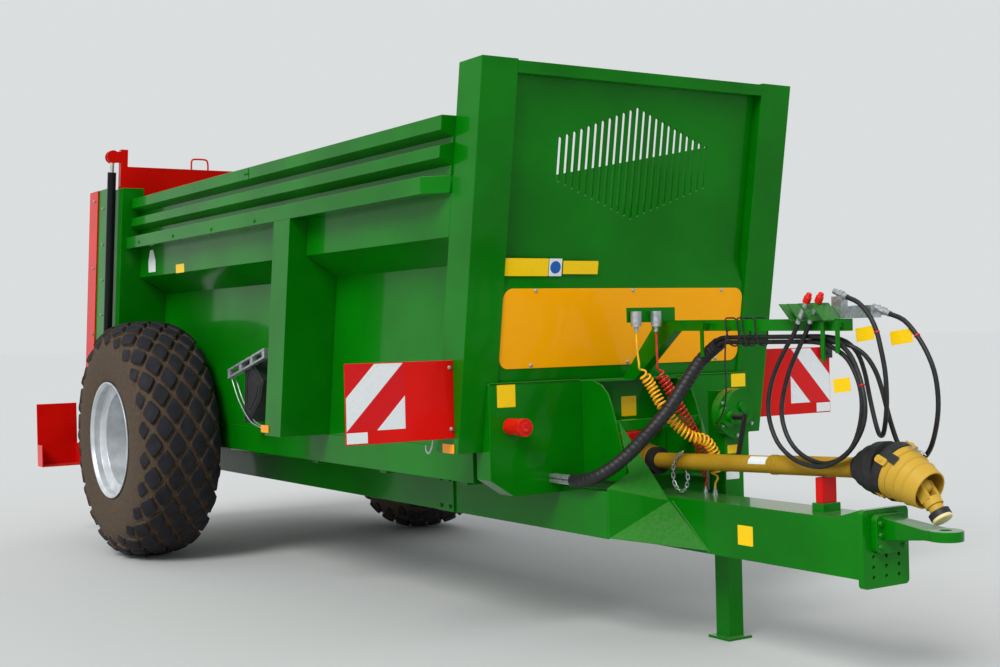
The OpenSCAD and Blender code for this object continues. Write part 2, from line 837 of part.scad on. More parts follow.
// Beater housing
housing_half_w = guide_web_x + clear;
beater_back = body_l + beater_gap;
housing_eta = guide_back + guide_t + fit;
housing_green_d = 450;
housing_red_d = 210;
housing_t = 10;
deck_z = 900;
deck_low_z = 850;

wheel_gap = 40;

module wheel_arch() {
  spin(narrow_half_w, rail_half_w + 100, tyre_r + wheel_gap);
}

module housing_sides() {
  color(GREEN) both() difference() {
    lean_bar(housing_half_w, housing_half_w + housing_t, housing_eta,
      housing_eta + housing_green_d, deck_low_z, housing_z);
    wheel_arch();
  }
}

strip_lap = 60; // the red strips lap over the green sides

module housing_strips() {
  inner = housing_half_w + housing_t;
  color(RED) both() lean_bar(inner, inner + housing_t, housing_eta + housing_green_d - strip_lap,
    housing_eta + housing_green_d + housing_red_d - strip_lap, deck_low_z, housing_z);
}

beam_half_d = 90;
top_beam_z = housing_z - 100;
shaft_r = 35;

module on_beater_axis(z = 0) {
  translate([beater_x, lean_y(deck_z) + beater_back, deck_z]) rotate([lean, 0, 0])
    translate([0, 0, z]) children();
}

beater_len = (top_beam_z - deck_z) / cos(lean);

module top_beam() {
  color(GREEN) difference() {
    lean_bar(-housing_half_w, housing_half_w, beater_back - beam_half_d,
      beater_back + beam_half_d, top_beam_z, housing_z);
    both() on_beater_axis(beater_len - 60) cylinder(h = 150, r = shaft_r + fit);
  }
}

deck_t = 40;
deck_front = 360;
deck_back = 420;
gearbox_h = 120; // under each beater
gearbox_r = 110;

module spreading_deck() {
  color(GREEN) difference() {
    union() {
      translate([0, lean_y(deck_z) + beater_back, deck_z]) rotate([lean, 0, 0])
        translate([-housing_half_w, -deck_front, -deck_t])
          cube([2 * housing_half_w, deck_front + deck_back, deck_t]);
      both() on_beater_axis(-deck_t - gearbox_h) cylinder(h = gearbox_h + 1, r = gearbox_r);
    }
    both() {
      on_beater_axis(-60) cylinder(h = 61, r = shaft_r + fit);
      wheel_arch();
    }
  }
}

// Beaters: a tube on a shaft, with a throwing disc, and two flights with blades
disc_r = 380;
disc_t = 12;
paddle_n = 6; // throwing paddles on the disc
paddle_h = 125;
tube_top = beater_len - 30;
flight_r = 270;
flight_t = 14;
flight_z0 = 190;
flight_turns = 2.5;
flight_slices = 60;
flight_n = 2;
blade_n = 10; // blades on each flight
blade_w = 70;
blade_t = 10;

module beater() {
  on_beater_axis() {
    translate([0, 0, -50]) cylinder(h = 50 + beater_len + 60, r = shaft_r);
    translate([0, 0, clear]) cylinder(h = disc_t, r = disc_r);
    translate([0, 0, clear]) cylinder(h = tube_top - clear, r = beater_tube_r);
    for (k = [0 : paddle_n - 1]) rotate([0, 0, k * 360 / paddle_n])
      translate([beater_tube_r - 10, -6, clear + disc_t / 2])
        cube([disc_r - beater_tube_r, 12, paddle_h]);
  }
  flights();
}

// The flights wind round the tube; the blades are bolted across their edge
module flights() {
  h = tube_top - 60 - flight_z0;
  r0 = beater_tube_r + 0.9;
  on_beater_axis(flight_z0) {
    linear_extrude(height = h, twist = -360 * flight_turns, slices = flight_slices, segments = 4)
      for (s = [0 : flight_n - 1]) rotate(s * 360 / flight_n)
        translate([r0, -flight_t / 2]) square([flight_r - r0, flight_t]);
    for (s = [0 : flight_n - 1], i = [0 : blade_n - 1]) {
      share = (i + 0.5) / blade_n;
      rotate([0, 0, s * 360 / flight_n + share * 360 * flight_turns])
        translate([flight_r - 24, -blade_w / 2, share * h])
          cube([beater_r - flight_r + 24, blade_w, blade_t]);
    }
  }
}

module beater_left() { color(GREEN) beater(); }
module beater_right() { color(GREEN) mirror([1, 0, 0]) beater(); }

// Door, which rises along the leaning guides
door_eta = body_l + clear;
door_low_z = load_z + 10;
door_low_half_w = narrow_half_w - 14;
stile_low_z = step_z + 20;
stile_w = 55;
stile_top_z = 3105;
door_sheet_t = 12;
door_ribs = [2900, 2500, 2100, 1700, 1360, 1080];
rib_h = 64;
cyl_x = 1245;
cyl_eta = body_l + clear + door_d / 2;
lug_z = 3047;
lug_r = 50;
lug_t = 8;
lug_gap = 18;
pin_r = 12;

module door() {
  stile_in = door_half_w - stile_w;
  color(RED) {
    intersection() {
      door_section();
      along_y(front_y, rear_end_y) polygon([
        [-door_low_half_w, door_low_z], [door_low_half_w, door_low_z],
        [door_low_half_w, stile_low_z], [stile_in + 20, stile_low_z],
        [stile_in + 20, door_top_z], [-stile_in - 20, door_top_z],
        [-stile_in - 20, stile_low_z], [-door_low_half_w, stile_low_z]
      ]);
    }
    both() lean_bar(stile_in, door_half_w, door_eta, door_eta + door_d,
      stile_low_z - 10, stile_top_z);
    both() {
      door_lug(-lug_gap - lug_t);
      door_lug(lug_gap);
      lug_disc(cyl_eta, pin_r, lug_gap + lug_t);
    }
  }
}

// Side view of the door's sheet with its ribs, drawn across the whole width
module door_section() {
  rib_eta = door_eta + door_d - 10;
  skin_eta = door_eta + door_sheet_t;
  along_x(-door_half_w, door_half_w) polygon(concat(
    [at(door_eta, door_low_z - 10), at(door_eta, door_top_z + 10)],
    [for (z = door_ribs) each [
      at(skin_eta, z + rib_h), at(rib_eta, z + rib_h - 12), at(rib_eta, z + 12), at(skin_eta, z)
    ]],
    [at(skin_eta, door_low_z - 10)]
  ));
}

// One cheek of the fork that takes the rod's eye, from eta0 off the cylinder's line
module door_lug(eta0) {
  lean_bar(door_half_w, cyl_x, cyl_eta + eta0, cyl_eta + eta0 + lug_t,
    lug_z - lug_r * 0.8, lug_z + lug_r * 0.8);
  lug_disc(cyl_eta + eta0 + lug_t / 2, lug_r, lug_t / 2);
}

// Disc of half thickness h about the pin's axis
module lug_disc(eta, r, h) {
  translate([cyl_x, lean_y(lug_z) + eta, lug_z]) rotate([90 + lean, 0, 0]) translate([0, 0, -h])
    cylinder(h = 2 * h, r = r);
}

// Lift cylinders: the barrels stand on the frame, the rods ride with the door
barrel_r = 33;
barrel_z0 = 1660;
barrel_z1 = 2930;
rod_r = 16;
eye_r = 30;

module on_cylinder(z) {
  translate([cyl_x, lean_y(z) + cyl_eta, z]) rotate([lean, 0, 0]) children();
}

module lift_barrels() {
  h = (barrel_z1 - barrel_z0) / cos(lean);
  color(BLACK) both() {
    difference() {
      on_cylinder(barrel_z0) cylinder(h = h, r = barrel_r);
      on_cylinder(barrel_z0 + 60) cylinder(h = h, r = rod_r + 8);
    }
    difference() {
      on_cylinder(barrel_z1 - 30) cylinder(h = 30 / cos(lean), r = rod_r + 9);
      on_cylinder(barrel_z1 - 40) cylinder(h = 60, r = rod_r + fit);
    }
    lean_bar(guide_web_x + guide_t, cyl_x - 10, cyl_eta - 20, cyl_eta + 20,
      barrel_z0, barrel_z0 + 60);
  }
}

module lift_rods() {
  z0 = barrel_z0 + 100;
  h = (lug_z - z0) / cos(lean) - pin_r;
  color(SILVER) both() difference() {
    union() {
      on_cylinder(z0) cylinder(h = h, r = rod_r);
      lug_disc(cyl_eta, eye_r, lug_gap - fit);
    }
    lug_disc(cyl_eta, pin_r + fit, lug_gap);
    lug_disc(cyl_eta + lug_gap + 10, eye_r + 4, 10 + fit);
    lug_disc(cyl_eta - lug_gap - 10, eye_r + 4, 10 + fit);
  }
}

// Lamp carriers behind the wheels: an upright plate, a channel below it that holds the
// lamps, and an arm to the chassis
carrier_x0 = 1206;
carrier_w = 334;
carrier_top_z = 1100;
channel_z = 580;
channel_h = 180;
channel_d = 140;
channel_t = 10;
carrier_arm_z = 640;
carrier_arm_h = 80;

module lamp_carriers() {
  x1 = carrier_x0 + carrier_w;
  top = channel_z + channel_h;
  arm_y = rear_end_y - lamp_t - channel_d;
  color(RED) both() {
    difference() {
      block(carrier_x0, x1, arm_y, rear_end_y - lamp_t, channel_z, top);
      block(carrier_x0 + channel_t, x1 - channel_t, arm_y - 1, rear_end_y - lamp_t - channel_t,
        channel_z + channel_t, top + 1);
    }
    block(carrier_x0, x1, rear_end_y - lamp_t - channel_t, rear_end_y - lamp_t, top - 1,
      carrier_top_z);
    block(beam_half_w, carrier_x0 + 1, arm_y, arm_y + 60, carrier_arm_z,
      carrier_arm_z + carrier_arm_h);
    block(beam_half_w, beam_half_w + 60, beam_rear_y - 100, arm_y + 1, carrier_arm_z,
      carrier_arm_z + carrier_arm_h);
  }
}

lamp_t = 28;
lamp_n = 3; // lenses in a lamp
lamp_w = 84;
lamp_h = 92;

module tail_lamps() {
  color(RED) both() for (i = [0 : lamp_n - 1])
    translate([carrier_x0 + 34 + i * (lamp_w + 6), rear_end_y, channel_z + channel_h / 2])
      rotate([90, 0, 0]) linear_extrude(height = lamp_t - fit)
        translate([lamp_w / 2, -lamp_h / 2]) rounded(lamp_w, lamp_h, 12);
}

// Drive shaft with its guards, resting on a post on the drawbar
pto_rear_y = front_y - 260;
pto_rear_z = 916;
joint_ahead = 90; // from the head plate's back forward to the shaft's front joint
pto_front_y = head_back_y - joint_ahead;
pto_front_z = 982;
pto_dip = 23;
yoke_dip = 52;
pto_angle = atan2(pto_front_z - pto_rear_z, pto_rear_y - pto_front_y);
pto_len = (pto_rear_y - pto_front_y) / cos(pto_angle);
inner_guard_r = guard_r - 4;
outer_guard_l = 745; // the outer guard tube slides over the inner one
bell_r = 96; // guard bell at the gearbox
bell_l = 134;
bell_back = 90; // behind the shaft's rear end
stub_l = 148; // gearbox shaft behind the bell

// Runs children from the shaft's rear end along its axis, which points forward
module on_pto(d) {
  translate([0, pto_rear_y, pto_rear_z]) rotate([90 - pto_angle, 0, 0]) translate([0, 0, d])
    children();
}

// Runs children from the front joint's middle along the guard cone's axis
module on_joint(d) {
  translate([0, pto_front_y, pto_front_z]) rotate([90 + pto_dip, 0, 0]) translate([0, 0, d])
    children();
}

// Runs children from the yoke's pivot, which lies on the cone's axis
module on_yoke(d) {
  on_joint(yoke_pivot) rotate([yoke_dip - pto_dip, 0, 0]) translate([0, 0, d]) children();
}

boot_back = 205;
boot_front = 22;
boot_r = 126;
collar_d = 42; // black collar at the rear guard bell

module pto_guard() {
  color(GUARD_YELLOW) {
    on_pto(0) cylinder(h = pto_len - boot_back + 20, r = inner_guard_r);
    on_pto(pto_len - outer_guard_l) cylinder(h = outer_guard_l - boot_back, r = guard_r);
    on_pto(-bell_back) rotate_extrude() polygon([
      [0, 0], [bell_r, 0], [bell_r, 34], [bell_r - 6, 38], [bell_r - 6, 70], [bell_r - 12, 74],
      [bell_r - 12, 104], [bell_r - 18, 108], [bell_r - 20, bell_l], [0, bell_l]
    ]);
  }
}

// Black boots: radius against distance, one round the tube's front end and the joint,
// one behind the rear bell, and the collar of the yoke's catch
module pto_boot() {
  color(BLACK) {
    difference() {
      union() {
        on_pto(pto_len) rotate_extrude() polygon([
          [0, -boot_back], [60, -boot_back], [64, -180], [84, -168], [88, -140], [104, -128],
          [108, -96], [119, -84], [122, -30], [0, -10]
        ]);
        on_joint(-30) rotate_extrude() polygon([
          [0, 0], [boot_r - 8, 0], [boot_r, 16], [boot_r, 30 + boot_front], [0, 30 + boot_front]
        ]);
        for (turn = [20 : 120 : 340]) on_joint(boot_front - 1) rotate([0, 0, turn])
          translate([boot_r - 24, -20, 0]) cube([22, 40, 44]);
      }
      on_pto(pto_len - boot_back - 1) cylinder(h = 22, r = inner_guard_r + fit);
      on_joint(boot_front) cylinder(h = cone_l, r = cone_r + fit);
    }
    on_pto(-stub_l - bell_back) cylinder(h = stub_l - fit, r = 34);
    on_pto(bell_l - bell_back) difference() {
      cylinder(h = collar_d, r = bell_r - 24);
      translate([0, 0, -1]) cylinder(h = collar_d + 2, r = inner_guard_r + fit);
    }
    on_yoke(yoke_l - 40) difference() {
      cylinder(h = 26, r = yoke_r + 7);
      translate([0, 0, -1]) cylinder(h = 28, r = yoke_r - 8 + fit);
    }
  }
}

cone_r = 122;
cone_front_r = 90;
cone_l = 180;
cone_wall = 7;
cone_base_t = 14;
cone_ribs = 3;

// Guard cone in steps, open at its front
module pto_cone() {
  step_l = cone_l / cone_ribs;
  color(GUARD_YELLOW) on_joint(boot_front + fit) rotate_extrude() polygon(concat(
    [[0, 0]],
    [for (i = [0 : cone_ribs - 1]) each [
      [cone_r - i * (cone_r - cone_front_r) / cone_ribs, i * step_l],
      [cone_r - 3 - (i + 1) * (cone_r - cone_front_r) / cone_ribs, (i + 1) * step_l]
    ]],
    [[cone_front_r - cone_wall - 3, cone_l], [cone_r - cone_wall - 8, cone_base_t],
      [0, cone_base_t]]
  ));
}

yoke_pivot = 165;
yoke_r = 40;
yoke_l = 168;
spline_r = 17.5;
spline_l = 100;
fork_w = 62;

// Yoke: a fork from the joint's cross to the splined hub with its catch
module pto_yoke() {
  color(GUARD_YELLOW) {
    on_joint(boot_front + cone_base_t + 2 * fit) cylinder(h = yoke_pivot - 50, r = 30);
    difference() {
      union() {
        on_joint(yoke_pivot) sphere(r = 36);
        for (x = [-1, 1]) on_yoke(-14) translate([x * fork_w / 2 - 9, -24, 0])
          cube([18, 48, 84]);
        on_yoke(64) cylinder(h = yoke_l - 64, r = yoke_r - 8);
        on_yoke(64) cylinder(h = 34, r = yoke_r);
        on_yoke(yoke_l - 12) cylinder(h = 12, r = yoke_r);
      }
      on_yoke(yoke_l - spline_l) cylinder(h = spline_l + 1, r = spline_r);
    }
  }
}

rest_y = front_y - 1530;
rest_half_w = 46;
rest_half_d = 22;
rest_base_h = 42;

module pto_rest() {
  under = pto_rear_z + (pto_rear_y - rest_y - rest_half_d) * tan(pto_angle)
    - guard_r / cos(pto_angle) - fit;
  color(RED) block(-rest_half_w, rest_half_w, rest_y - rest_half_d, rest_y + rest_half_d,
    drawbar_top_z + rest_base_h, under);
}

// Rack that carries the hoses over the drawbar: an arm on a brace, a comb for the
// couplings, hooks that hold the hoses up, and a plate for the air couplings
rack_rear_z = 1632;
rack_front_z = 1614;
rack_y0 = front_y - 335;
rack_y1 = front_y - 1690;
rack_w = 55;
comb_ys = [-1434, -1487, -1560, -1634];
comb_x0 = -98;
comb_x1 = 15;
comb_lean = 76;
comb_top_z = 1717;
comb_t = 8;
hook_x = -46;
hook_t = 8;
hook_w = 22;
// Hooks: [distance ahead of the front posts' foot, lower end]
hooks = [[1580, 1450], [1670, 1487]];
rear_hook = [780, 1470];
air_plate_y = front_y - 460;
air_plate_x0 = -288;
air_plate_z = 1650;
air_plate_h = 76;
air_plate_t = 8;

function rack_z(y) =
  rack_rear_z + (rack_front_z - rack_rear_z) * (y - rack_y0) / (rack_y1 - rack_y0);

module hook(x, ahead, low_z) {
  y = front_y - ahead;
  z = rack_z(y);
  block(x - hook_t, x, y - hook_w / 2, y + hook_w / 2, low_z, z + 12);
  block(x - hook_t, 0, y - hook_w / 2, y + hook_w / 2, z - 10, z + 12);
}

module hose_rack() {
  half = rack_w / 2;
  color(GREEN) difference() {
    union() {
      along_x(-half, half) polygon([
        [rack_y1, rack_front_z - half], [rack_y0, rack_rear_z - half],
        [rack_y0, rack_rear_z + half], [rack_y1, rack_front_z + half]
      ]);
      along_x(-half, half) polygon([
        [box_y - 5, hood_top_z], [box_y - 121, hood_top_z], [front_y - 530, rack_rear_z - half + 9],
        [rack_y0, rack_rear_z - half + 9]
      ]);
      for (d = comb_ys) along_x(comb_x0, comb_x1) polygon([
        [front_y + d, rack_front_z + half - 6], [front_y + d + comb_t, rack_front_z + half - 6],
        [front_y + d + comb_lean + comb_t, comb_top_z], [front_y + d + comb_lean, comb_top_z]
      ]);
      for (h = hooks) hook(hook_x, h[0], h[1]);
      hook(hook_x - 20, rear_hook[0], rear_hook[1]);
      block(air_plate_x0, half, air_plate_y, air_plate_y + air_plate_t, air_plate_z,
        air_plate_z + air_plate_h);
    }
    for (c = comb_couplings) coupling_body(c, fit);
  }
}

// Couplings: [x, y, z] where the hose leaves, and the dip of the hose below the horizon;
// those in the comb lean forward, the two on the valve block point forward
comb_couplings = [[-80, front_y - 1455, 1625], [-50, front_y - 1500, 1625]];
coupling_r = 13;
coupling_l = 128;
coupling_tilt = 30;
block_x0 = 20;
block_x1 = 125;
block_y = front_y - 1650;
block_d = 120;
block_z = rack_z(block_y + 80) + rack_w / 2 + fit;
block_top_z = 1700;
// Fittings on the block: [place of the hose's end, dip, length]
fittings = [[[40, front_y - 1650, 1738], 21.8, 84], [[100, front_y - 1845, 1657], 20.5, 104]];
air_couplings = [-255, -125];
air_r = 28;
air_low_z = 1600;
crimp_r = 11;
hose_gap = 0.8; // between a hose's end and what holds it
crimp_spread = 13;

module coupling_body(c, gap, start = 0) {
  translate(c) rotate([coupling_tilt, 0, 0]) translate([0, 0, start])
    cylinder(h = coupling_l, r = coupling_r + gap);
}

module couplings() {
  air_y = air_plate_y - air_r - fit;
  color(SILVER) {
    for (c = comb_couplings) coupling_body(c, 0, hose_gap);
    block(block_x0 + 38, block_x1, block_y - block_d, block_y, block_z, block_top_z);
    block(block_x0, block_x1 - 20, block_y - 1, block_y + 80, block_z, block_top_z - 2);
    block(block_x0, block_x0 + 40, block_y + 18, block_y + 80, block_z, block_top_z + 44);
    for (f = fittings) translate(f[0]) rotate([f[1] - 90, 0, 0]) {
      translate([0, 0, hose_gap]) cylinder(h = f[2], r = hose_r + 3);
      translate([0, 0, 30]) cylinder(h = 26, r = hose_r + 8, $fn = 6);
    }
    for (x = air_couplings) {
      translate([x, air_y, air_low_z + hose_gap]) cylinder(h = 100, r = 12);
      translate([x, air_y, air_low_z + 28]) cylinder(h = 78, r = air_r);
    }
    for (x = [-1, 1], z = [-1, 1]) translate([sleeve_end[0] + x * crimp_spread, box_y,
      sleeve_end[2] + z * crimp_spread]) rotate([90, 0, 0])
        cylinder(h = box_y - sleeve_end[1] - hose_gap, r = crimp_r);
  }
}

// Hoses and cables: each is swept along a smooth curve through points chosen by hand,
// in the machine's own frame, so they move with front_y only as the rack does
hose_sides = 8;
air_line_r = 5.5;
coil_r = 31;
cable_r = 4;
sleeve_mouth = [-12, -2690, 1534];
sleeve_end = [-500, -2100, 845];

route_a = [
  [-80, -3305, 1625], [-80, -3275, 1573], [-82, -3210, 1490], [-84, -3140, 1377],
  [-86, -3108, 1262], [-88, -3116, 1166], [-90, -3165, 1073], [-92, -3245, 1012],
  [-92, -3332, 982], [-92, -3440, 975], [-92, -3530, 1003], [-90, -3614, 1058],
  [-88, -3672, 1130], [-84, -3698, 1197], [-78, -3698, 1267], [-68, -3675, 1340],
  [-50, -3632, 1413], [-32, -3575, 1480], [-24, -3505, 1528], [-24, -3435, 1552],
  [-24, -3350, 1562], [-24, -3200, 1564], [-24, -3000, 1564], [-24, -2820, 1564],
  [-24, -2722, 1562], sleeve_mouth + [-12, 4, 11]
];

route_b = [
  [-50, -3350, 1625], [-50, -3320, 1573], [-50, -3281, 1515], [-52, -3218, 1410],
  [-55, -3175, 1290], [-58, -3165, 1197], [-62, -3200, 1105], [-65, -3265, 1038],
  [-66, -3350, 1000], [-66, -3445, 988], [-66, -3545, 1020], [-64, -3612, 1081],
  [-60, -3650, 1170], [-55, -3660, 1260], [-48, -3643, 1340], [-38, -3602, 1410],
  [-28, -3550, 1465], [-24, -3485, 1503], [-24, -3420, 1527], [-24, -3340, 1538],
  [-24, -3200, 1540], [-24, -3000, 1540], [-24, -2820, 1540], [-24, -2728, 1540],
  sleeve_mouth + [-12, -8, -9]
];

route_c = [
  [40, -3500, 1738], [40, -3565, 1712], [40, -3625, 1656], [40, -3665, 1588],
  [40, -3690, 1503], [42, -3708, 1411], [45, -3712, 1320], [50, -3705, 1235],
  [65, -3680, 1160], [95, -3640, 1118], [130, -3590, 1115], [155, -3550, 1150],
  [165, -3520, 1220], [165, -3500, 1300], [150, -3490, 1400], [115, -3482, 1485],
  [70, -3455, 1538], [25, -3400, 1559], [0, -3330, 1564], [0, -3200, 1564],
  [0, -3000, 1564], [0, -2820, 1564], [0, -2722, 1562], sleeve_mouth + [12, 4, 11]
];

route_e = [
  [100, -3695, 1657], [100, -3770, 1629], [100, -3835, 1568], [100, -3890, 1493],
  [105, -3925, 1410], [110, -3938, 1323], [120, -3930, 1234], [135, -3900, 1143],
  [150, -3855, 1060], [160, -3795, 1012], [160, -3728, 1015], [150, -3683, 1070],
  [135, -3660, 1150], [120, -3645, 1235], [108, -3628, 1325], [95, -3605, 1405],
  [75, -3565, 1475], [45, -3510, 1517], [15, -3445, 1534], [0, -3370, 1540],
  [0, -3200, 1540], [0, -3000, 1540], [0, -2820, 1540], [0, -2728, 1540],
  sleeve_mouth + [12, -8, -9]
];

route_sleeve = [
  sleeve_mouth, [-14, -2650, 1510], [-25, -2605, 1475], [-50, -2570, 1430],
  [-110, -2535, 1330], [-200, -2509, 1206], [-280, -2465, 1105], [-350, -2400, 1005],
  [-420, -2345, 930], [-470, -2290, 885], [-495, -2230, 860], [-500, -2165, 848],
  [-500, -2130, 845], sleeve_end
];

// A coil's route: [point, radius there]: a straight line of hose, then the coil
route_yellow = [
  [[-255, -2338, 1600], air_line_r], [[-255, -2340, 1540], air_line_r],
  [[-250, -2342, 1470], air_line_r], [[-238, -2343, 1415], air_line_r],
  [[-228, -2344, 1395], coil_r], [[-180, -2355, 1325], coil_r], [[-150, -2400, 1225], coil_r],
  [[-110, -2460, 1130], coil_r], [[-50, -2505, 1065], coil_r], [[25, -2530, 1040], coil_r],
  [[80, -2535, 965], coil_r], [[92, -2525, 880], coil_r], [[90, -2520, 785], coil_r]
];

route_red = [
  [[-125, -2338, 1600], air_line_r], [[-125, -2340, 1540], air_line_r],
  [[-125, -2342, 1470], air_line_r], [[-122, -2344, 1415], air_line_r],
  [[-118, -2346, 1395], coil_r], [[-85, -2370, 1320], coil_r], [[-50, -2395, 1240], coil_r],
  [[-10, -2420, 1150], coil_r], [[50, -2432, 1045], coil_r], [[92, -2437, 930], coil_r],
  [[98, -2440, 785], coil_r]
];

route_cable = [
  [-32, -2790, 1606], [-46, -2790, 1592], [-56, -2790, 1560], [-60, -2787, 1500],
  [-56, -2780, 1430], [-40, -2766, 1316], [-12, -2722, 1228], [22, -2650, 1160],
  [46, -2592, 1132], [78, -2556, 1124]
];

// Point between p1 and p2 of a smooth curve through p0, p1, p2, p3
function between(p0, p1, p2, p3, t) =
  0.5 * (2 * p1 + (p2 - p0) * t + (2 * p0 - 5 * p1 + 4 * p2 - p3) * t * t
    + (3 * p1 - 3 * p2 + p3 - p0) * t * t * t);

function curve(route, n) = concat(
  [for (i = [0 : len(route) - 2], k = [0 : n - 1])
    between(route[max(i - 1, 0)], route[i], route[i + 1],
      route[min(i + 2, len(route) - 1)], k / n)],
  [route[len(route) - 1]]
);

function unit(v) = v / norm(v);
function ahead_at(line, i) = unit(line[min(i + 1, len(line) - 1)] - line[max(i - 1, 0)]);

// A closed tube round a line, with a radius for each of its points
module swept(line, radii, sides) {
  n = len(line);
  points = [for (i = [0 : n - 1], k = [0 : sides - 1])
    let (
      ahead = ahead_at(line, i),
      u = unit(cross(ahead, [1, 0, 0])),
      v = cross(ahead, u),
      a = k * 360 / sides
    )
    line[i] + radii[i] * (cos(a) * u + sin(a) * v)];
  sides_of = [for (i = [0 : n - 2], k = [0 : sides - 1])
    let (a = i * sides + k, b = i * sides + (k + 1) % sides) each
    [[a, b + sides, b], [a, a + sides, b + sides]]];
  caps = [
    [for (k = [0 : sides - 1]) k],
    [for (k = [sides - 1 : -1 : 0]) (n - 1) * sides + k]
  ];
  polyhedron(points = points, faces = concat(sides_of, caps));
}

module hose(route, r, n, sides) {
  line = curve(route, n);
  swept(line, [for (p = line) r], sides);
}

module coil(route) {
  line = curve([for (p = route) p[0]], 2);
  swept(line, [for (i = [0 : len(line) - 1]) route[floor(i / 2)][1]], 10);
}

module hose_a() { color(BLACK) hose(route_a, hose_r, 2, hose_sides); }
module hose_b() { color(BLACK) hose(route_b, hose_r, 2, hose_sides); }
module hose_c() { color(BLACK) hose(route_c, hose_r, 2, hose_sides); }
module hose_e() { color(BLACK) hose(route_e, hose_r, 2, hose_sides); }
module hose_sleeve() { color(BLACK) hose(route_sleeve, sleeve_r, 2, 12); }
module coil_yellow() { color(YELLOW) coil(route_yellow); }
module coil_red() { color(RED) coil(route_red); }
module rack_cable() { color(BLACK) hose(route_cable, cable_r, 2, hose_sides); }

chassis_beams();
cross_members();
drawbar();
flare_plates();
hitch_plate();
tow_eye();
jack_column();
jack_leg();
jack_crank();
front_wall();
front_posts();
front_plate();
front_box();
document_tube();
pto_hood();
wall_left();
wall_right();
side_sills();
top_rails();
mid_posts();
extension_left();
extension_right();
rear_posts();
floor();
apron();
axle();
air_tank();
tyre_left();
tyre_right();
rim_left();
rim_right();
warning_boards();
wheel_chocks();
housing_sides();
housing_strips();
top_beam();
spreading_deck();
lift_barrels();
door();
lift_rods();
beater_left();
beater_right();
lamp_carriers();
tail_lamps();
pto_guard();
pto_boot();
pto_cone();
pto_yoke();
pto_rest();
hose_rack();
couplings();
hose_a();
hose_b();
hose_c();
hose_e();
hose_sleeve();
coil_yellow();
coil_red();
rack_cable();
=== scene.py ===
"""The looks of a rear-discharge manure spreader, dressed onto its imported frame."""

import json
import math

import bmesh
import bpy
from mathutils import Matrix, Vector


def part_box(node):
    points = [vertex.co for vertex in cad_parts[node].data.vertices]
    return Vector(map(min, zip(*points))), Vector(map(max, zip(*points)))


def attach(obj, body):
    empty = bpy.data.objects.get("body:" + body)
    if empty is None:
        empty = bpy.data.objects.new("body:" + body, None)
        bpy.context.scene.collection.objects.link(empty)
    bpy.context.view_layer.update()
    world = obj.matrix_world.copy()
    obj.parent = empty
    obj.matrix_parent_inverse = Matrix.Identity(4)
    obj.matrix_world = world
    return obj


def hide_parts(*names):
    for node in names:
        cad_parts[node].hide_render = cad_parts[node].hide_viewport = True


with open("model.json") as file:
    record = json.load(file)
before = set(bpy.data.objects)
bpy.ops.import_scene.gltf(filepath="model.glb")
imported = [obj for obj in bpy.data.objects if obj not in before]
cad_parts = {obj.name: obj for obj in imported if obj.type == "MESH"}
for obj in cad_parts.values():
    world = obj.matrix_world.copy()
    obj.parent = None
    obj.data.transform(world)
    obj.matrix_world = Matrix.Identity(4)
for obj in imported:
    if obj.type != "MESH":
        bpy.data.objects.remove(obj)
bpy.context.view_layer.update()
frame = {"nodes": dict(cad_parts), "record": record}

# The frame's lean, and the sizes that the looks are built on, in metres
LEAN = math.radians(9.2)
FRONT_Y = -1.85  # the front posts' face at floor height
FLOOR_Z = 1.0
WALL_X = 1.04  # a side wall's face above its ledge
LOWER_X = 0.824  # and below it
BOX_Y = -1.92  # the front of the box under the yellow plate
AXLE = (2.44, 0.88)
TYRE_X = 1.175


def lean_y(z):
    """The front posts' face at this height."""
    return FRONT_Y - (z - FLOOR_Z) * math.tan(LEAN)


# Camera: at eye height, ahead of the machine and to its right
CAMERA_PLACE = (-4.812, -8.042, 1.62)
CAMERA_YAW = math.radians(-33.16)
CAMERA_PITCH = math.radians(-0.08)
CAMERA_ROLL = math.radians(1.34)
CAMERA_LENS = 51.3


def make_camera():
    """The camera at the photograph's viewing angle."""
    data = bpy.data.cameras.new("camera")
    data.sensor_width = 36
    data.lens = CAMERA_LENS
    data.clip_end = 200
    camera = bpy.data.objects.new("camera", data)
    bpy.context.scene.collection.objects.link(camera)
    turn = (
        Matrix.Rotation(CAMERA_YAW, 4, "Z")
        @ Matrix.Rotation(CAMERA_PITCH, 4, "X")
        @ Matrix.Rotation(CAMERA_ROLL, 4, "Y")
        @ Matrix.Rotation(math.pi / 2, 4, "X")
    )
    camera.matrix_world = Matrix.Translation(CAMERA_PLACE) @ turn
    bpy.context.scene.camera = camera


make_camera()


# Materials. A colour Mix node's sockets: how far it goes, from and to what, and its result
FAR, FROM, TO, BLEND = 0, 6, 7, 2

DUST = 0.16  # how much dust the enamel holds where it faces straight up
SCUFF = 0.22  # how much paler a scuff is
# how far the painted glint lifts every other prism square of a lens towards pale cream
PRISM_PAINTED_GLINT = 0.03
CONE_START_Y = -3.78  # the shaft guard's cone lies ahead of this
LAMP_SPLIT_X = 1.418  # a rear lamp's amber field lies outside this


def linear(hex_colour):
    """An sRGB hex colour as linear RGBA."""
    parts = [int(hex_colour[i : i + 2], 16) / 255 for i in (1, 3, 5)]
    return [c / 12.92 if c <= 0.04045 else ((c + 0.055) / 1.055) ** 2.4 for c in parts] + [1.0]


def add(tree, kind, inputs=None, out=0, **settings):
    """Adds a node with these settings, links or sets its inputs, and gives one output."""
    node = tree.nodes.new("ShaderNode" + kind)
    for name, value in settings.items():
        setattr(node, name, value)
    for socket, value in (inputs or {}).items():
        if isinstance(value, bpy.types.NodeSocket):
            tree.links.new(value, node.inputs[socket])
        else:
            node.inputs[socket].default_value = linear(value) if isinstance(value, str) else value
    return node.outputs[out]


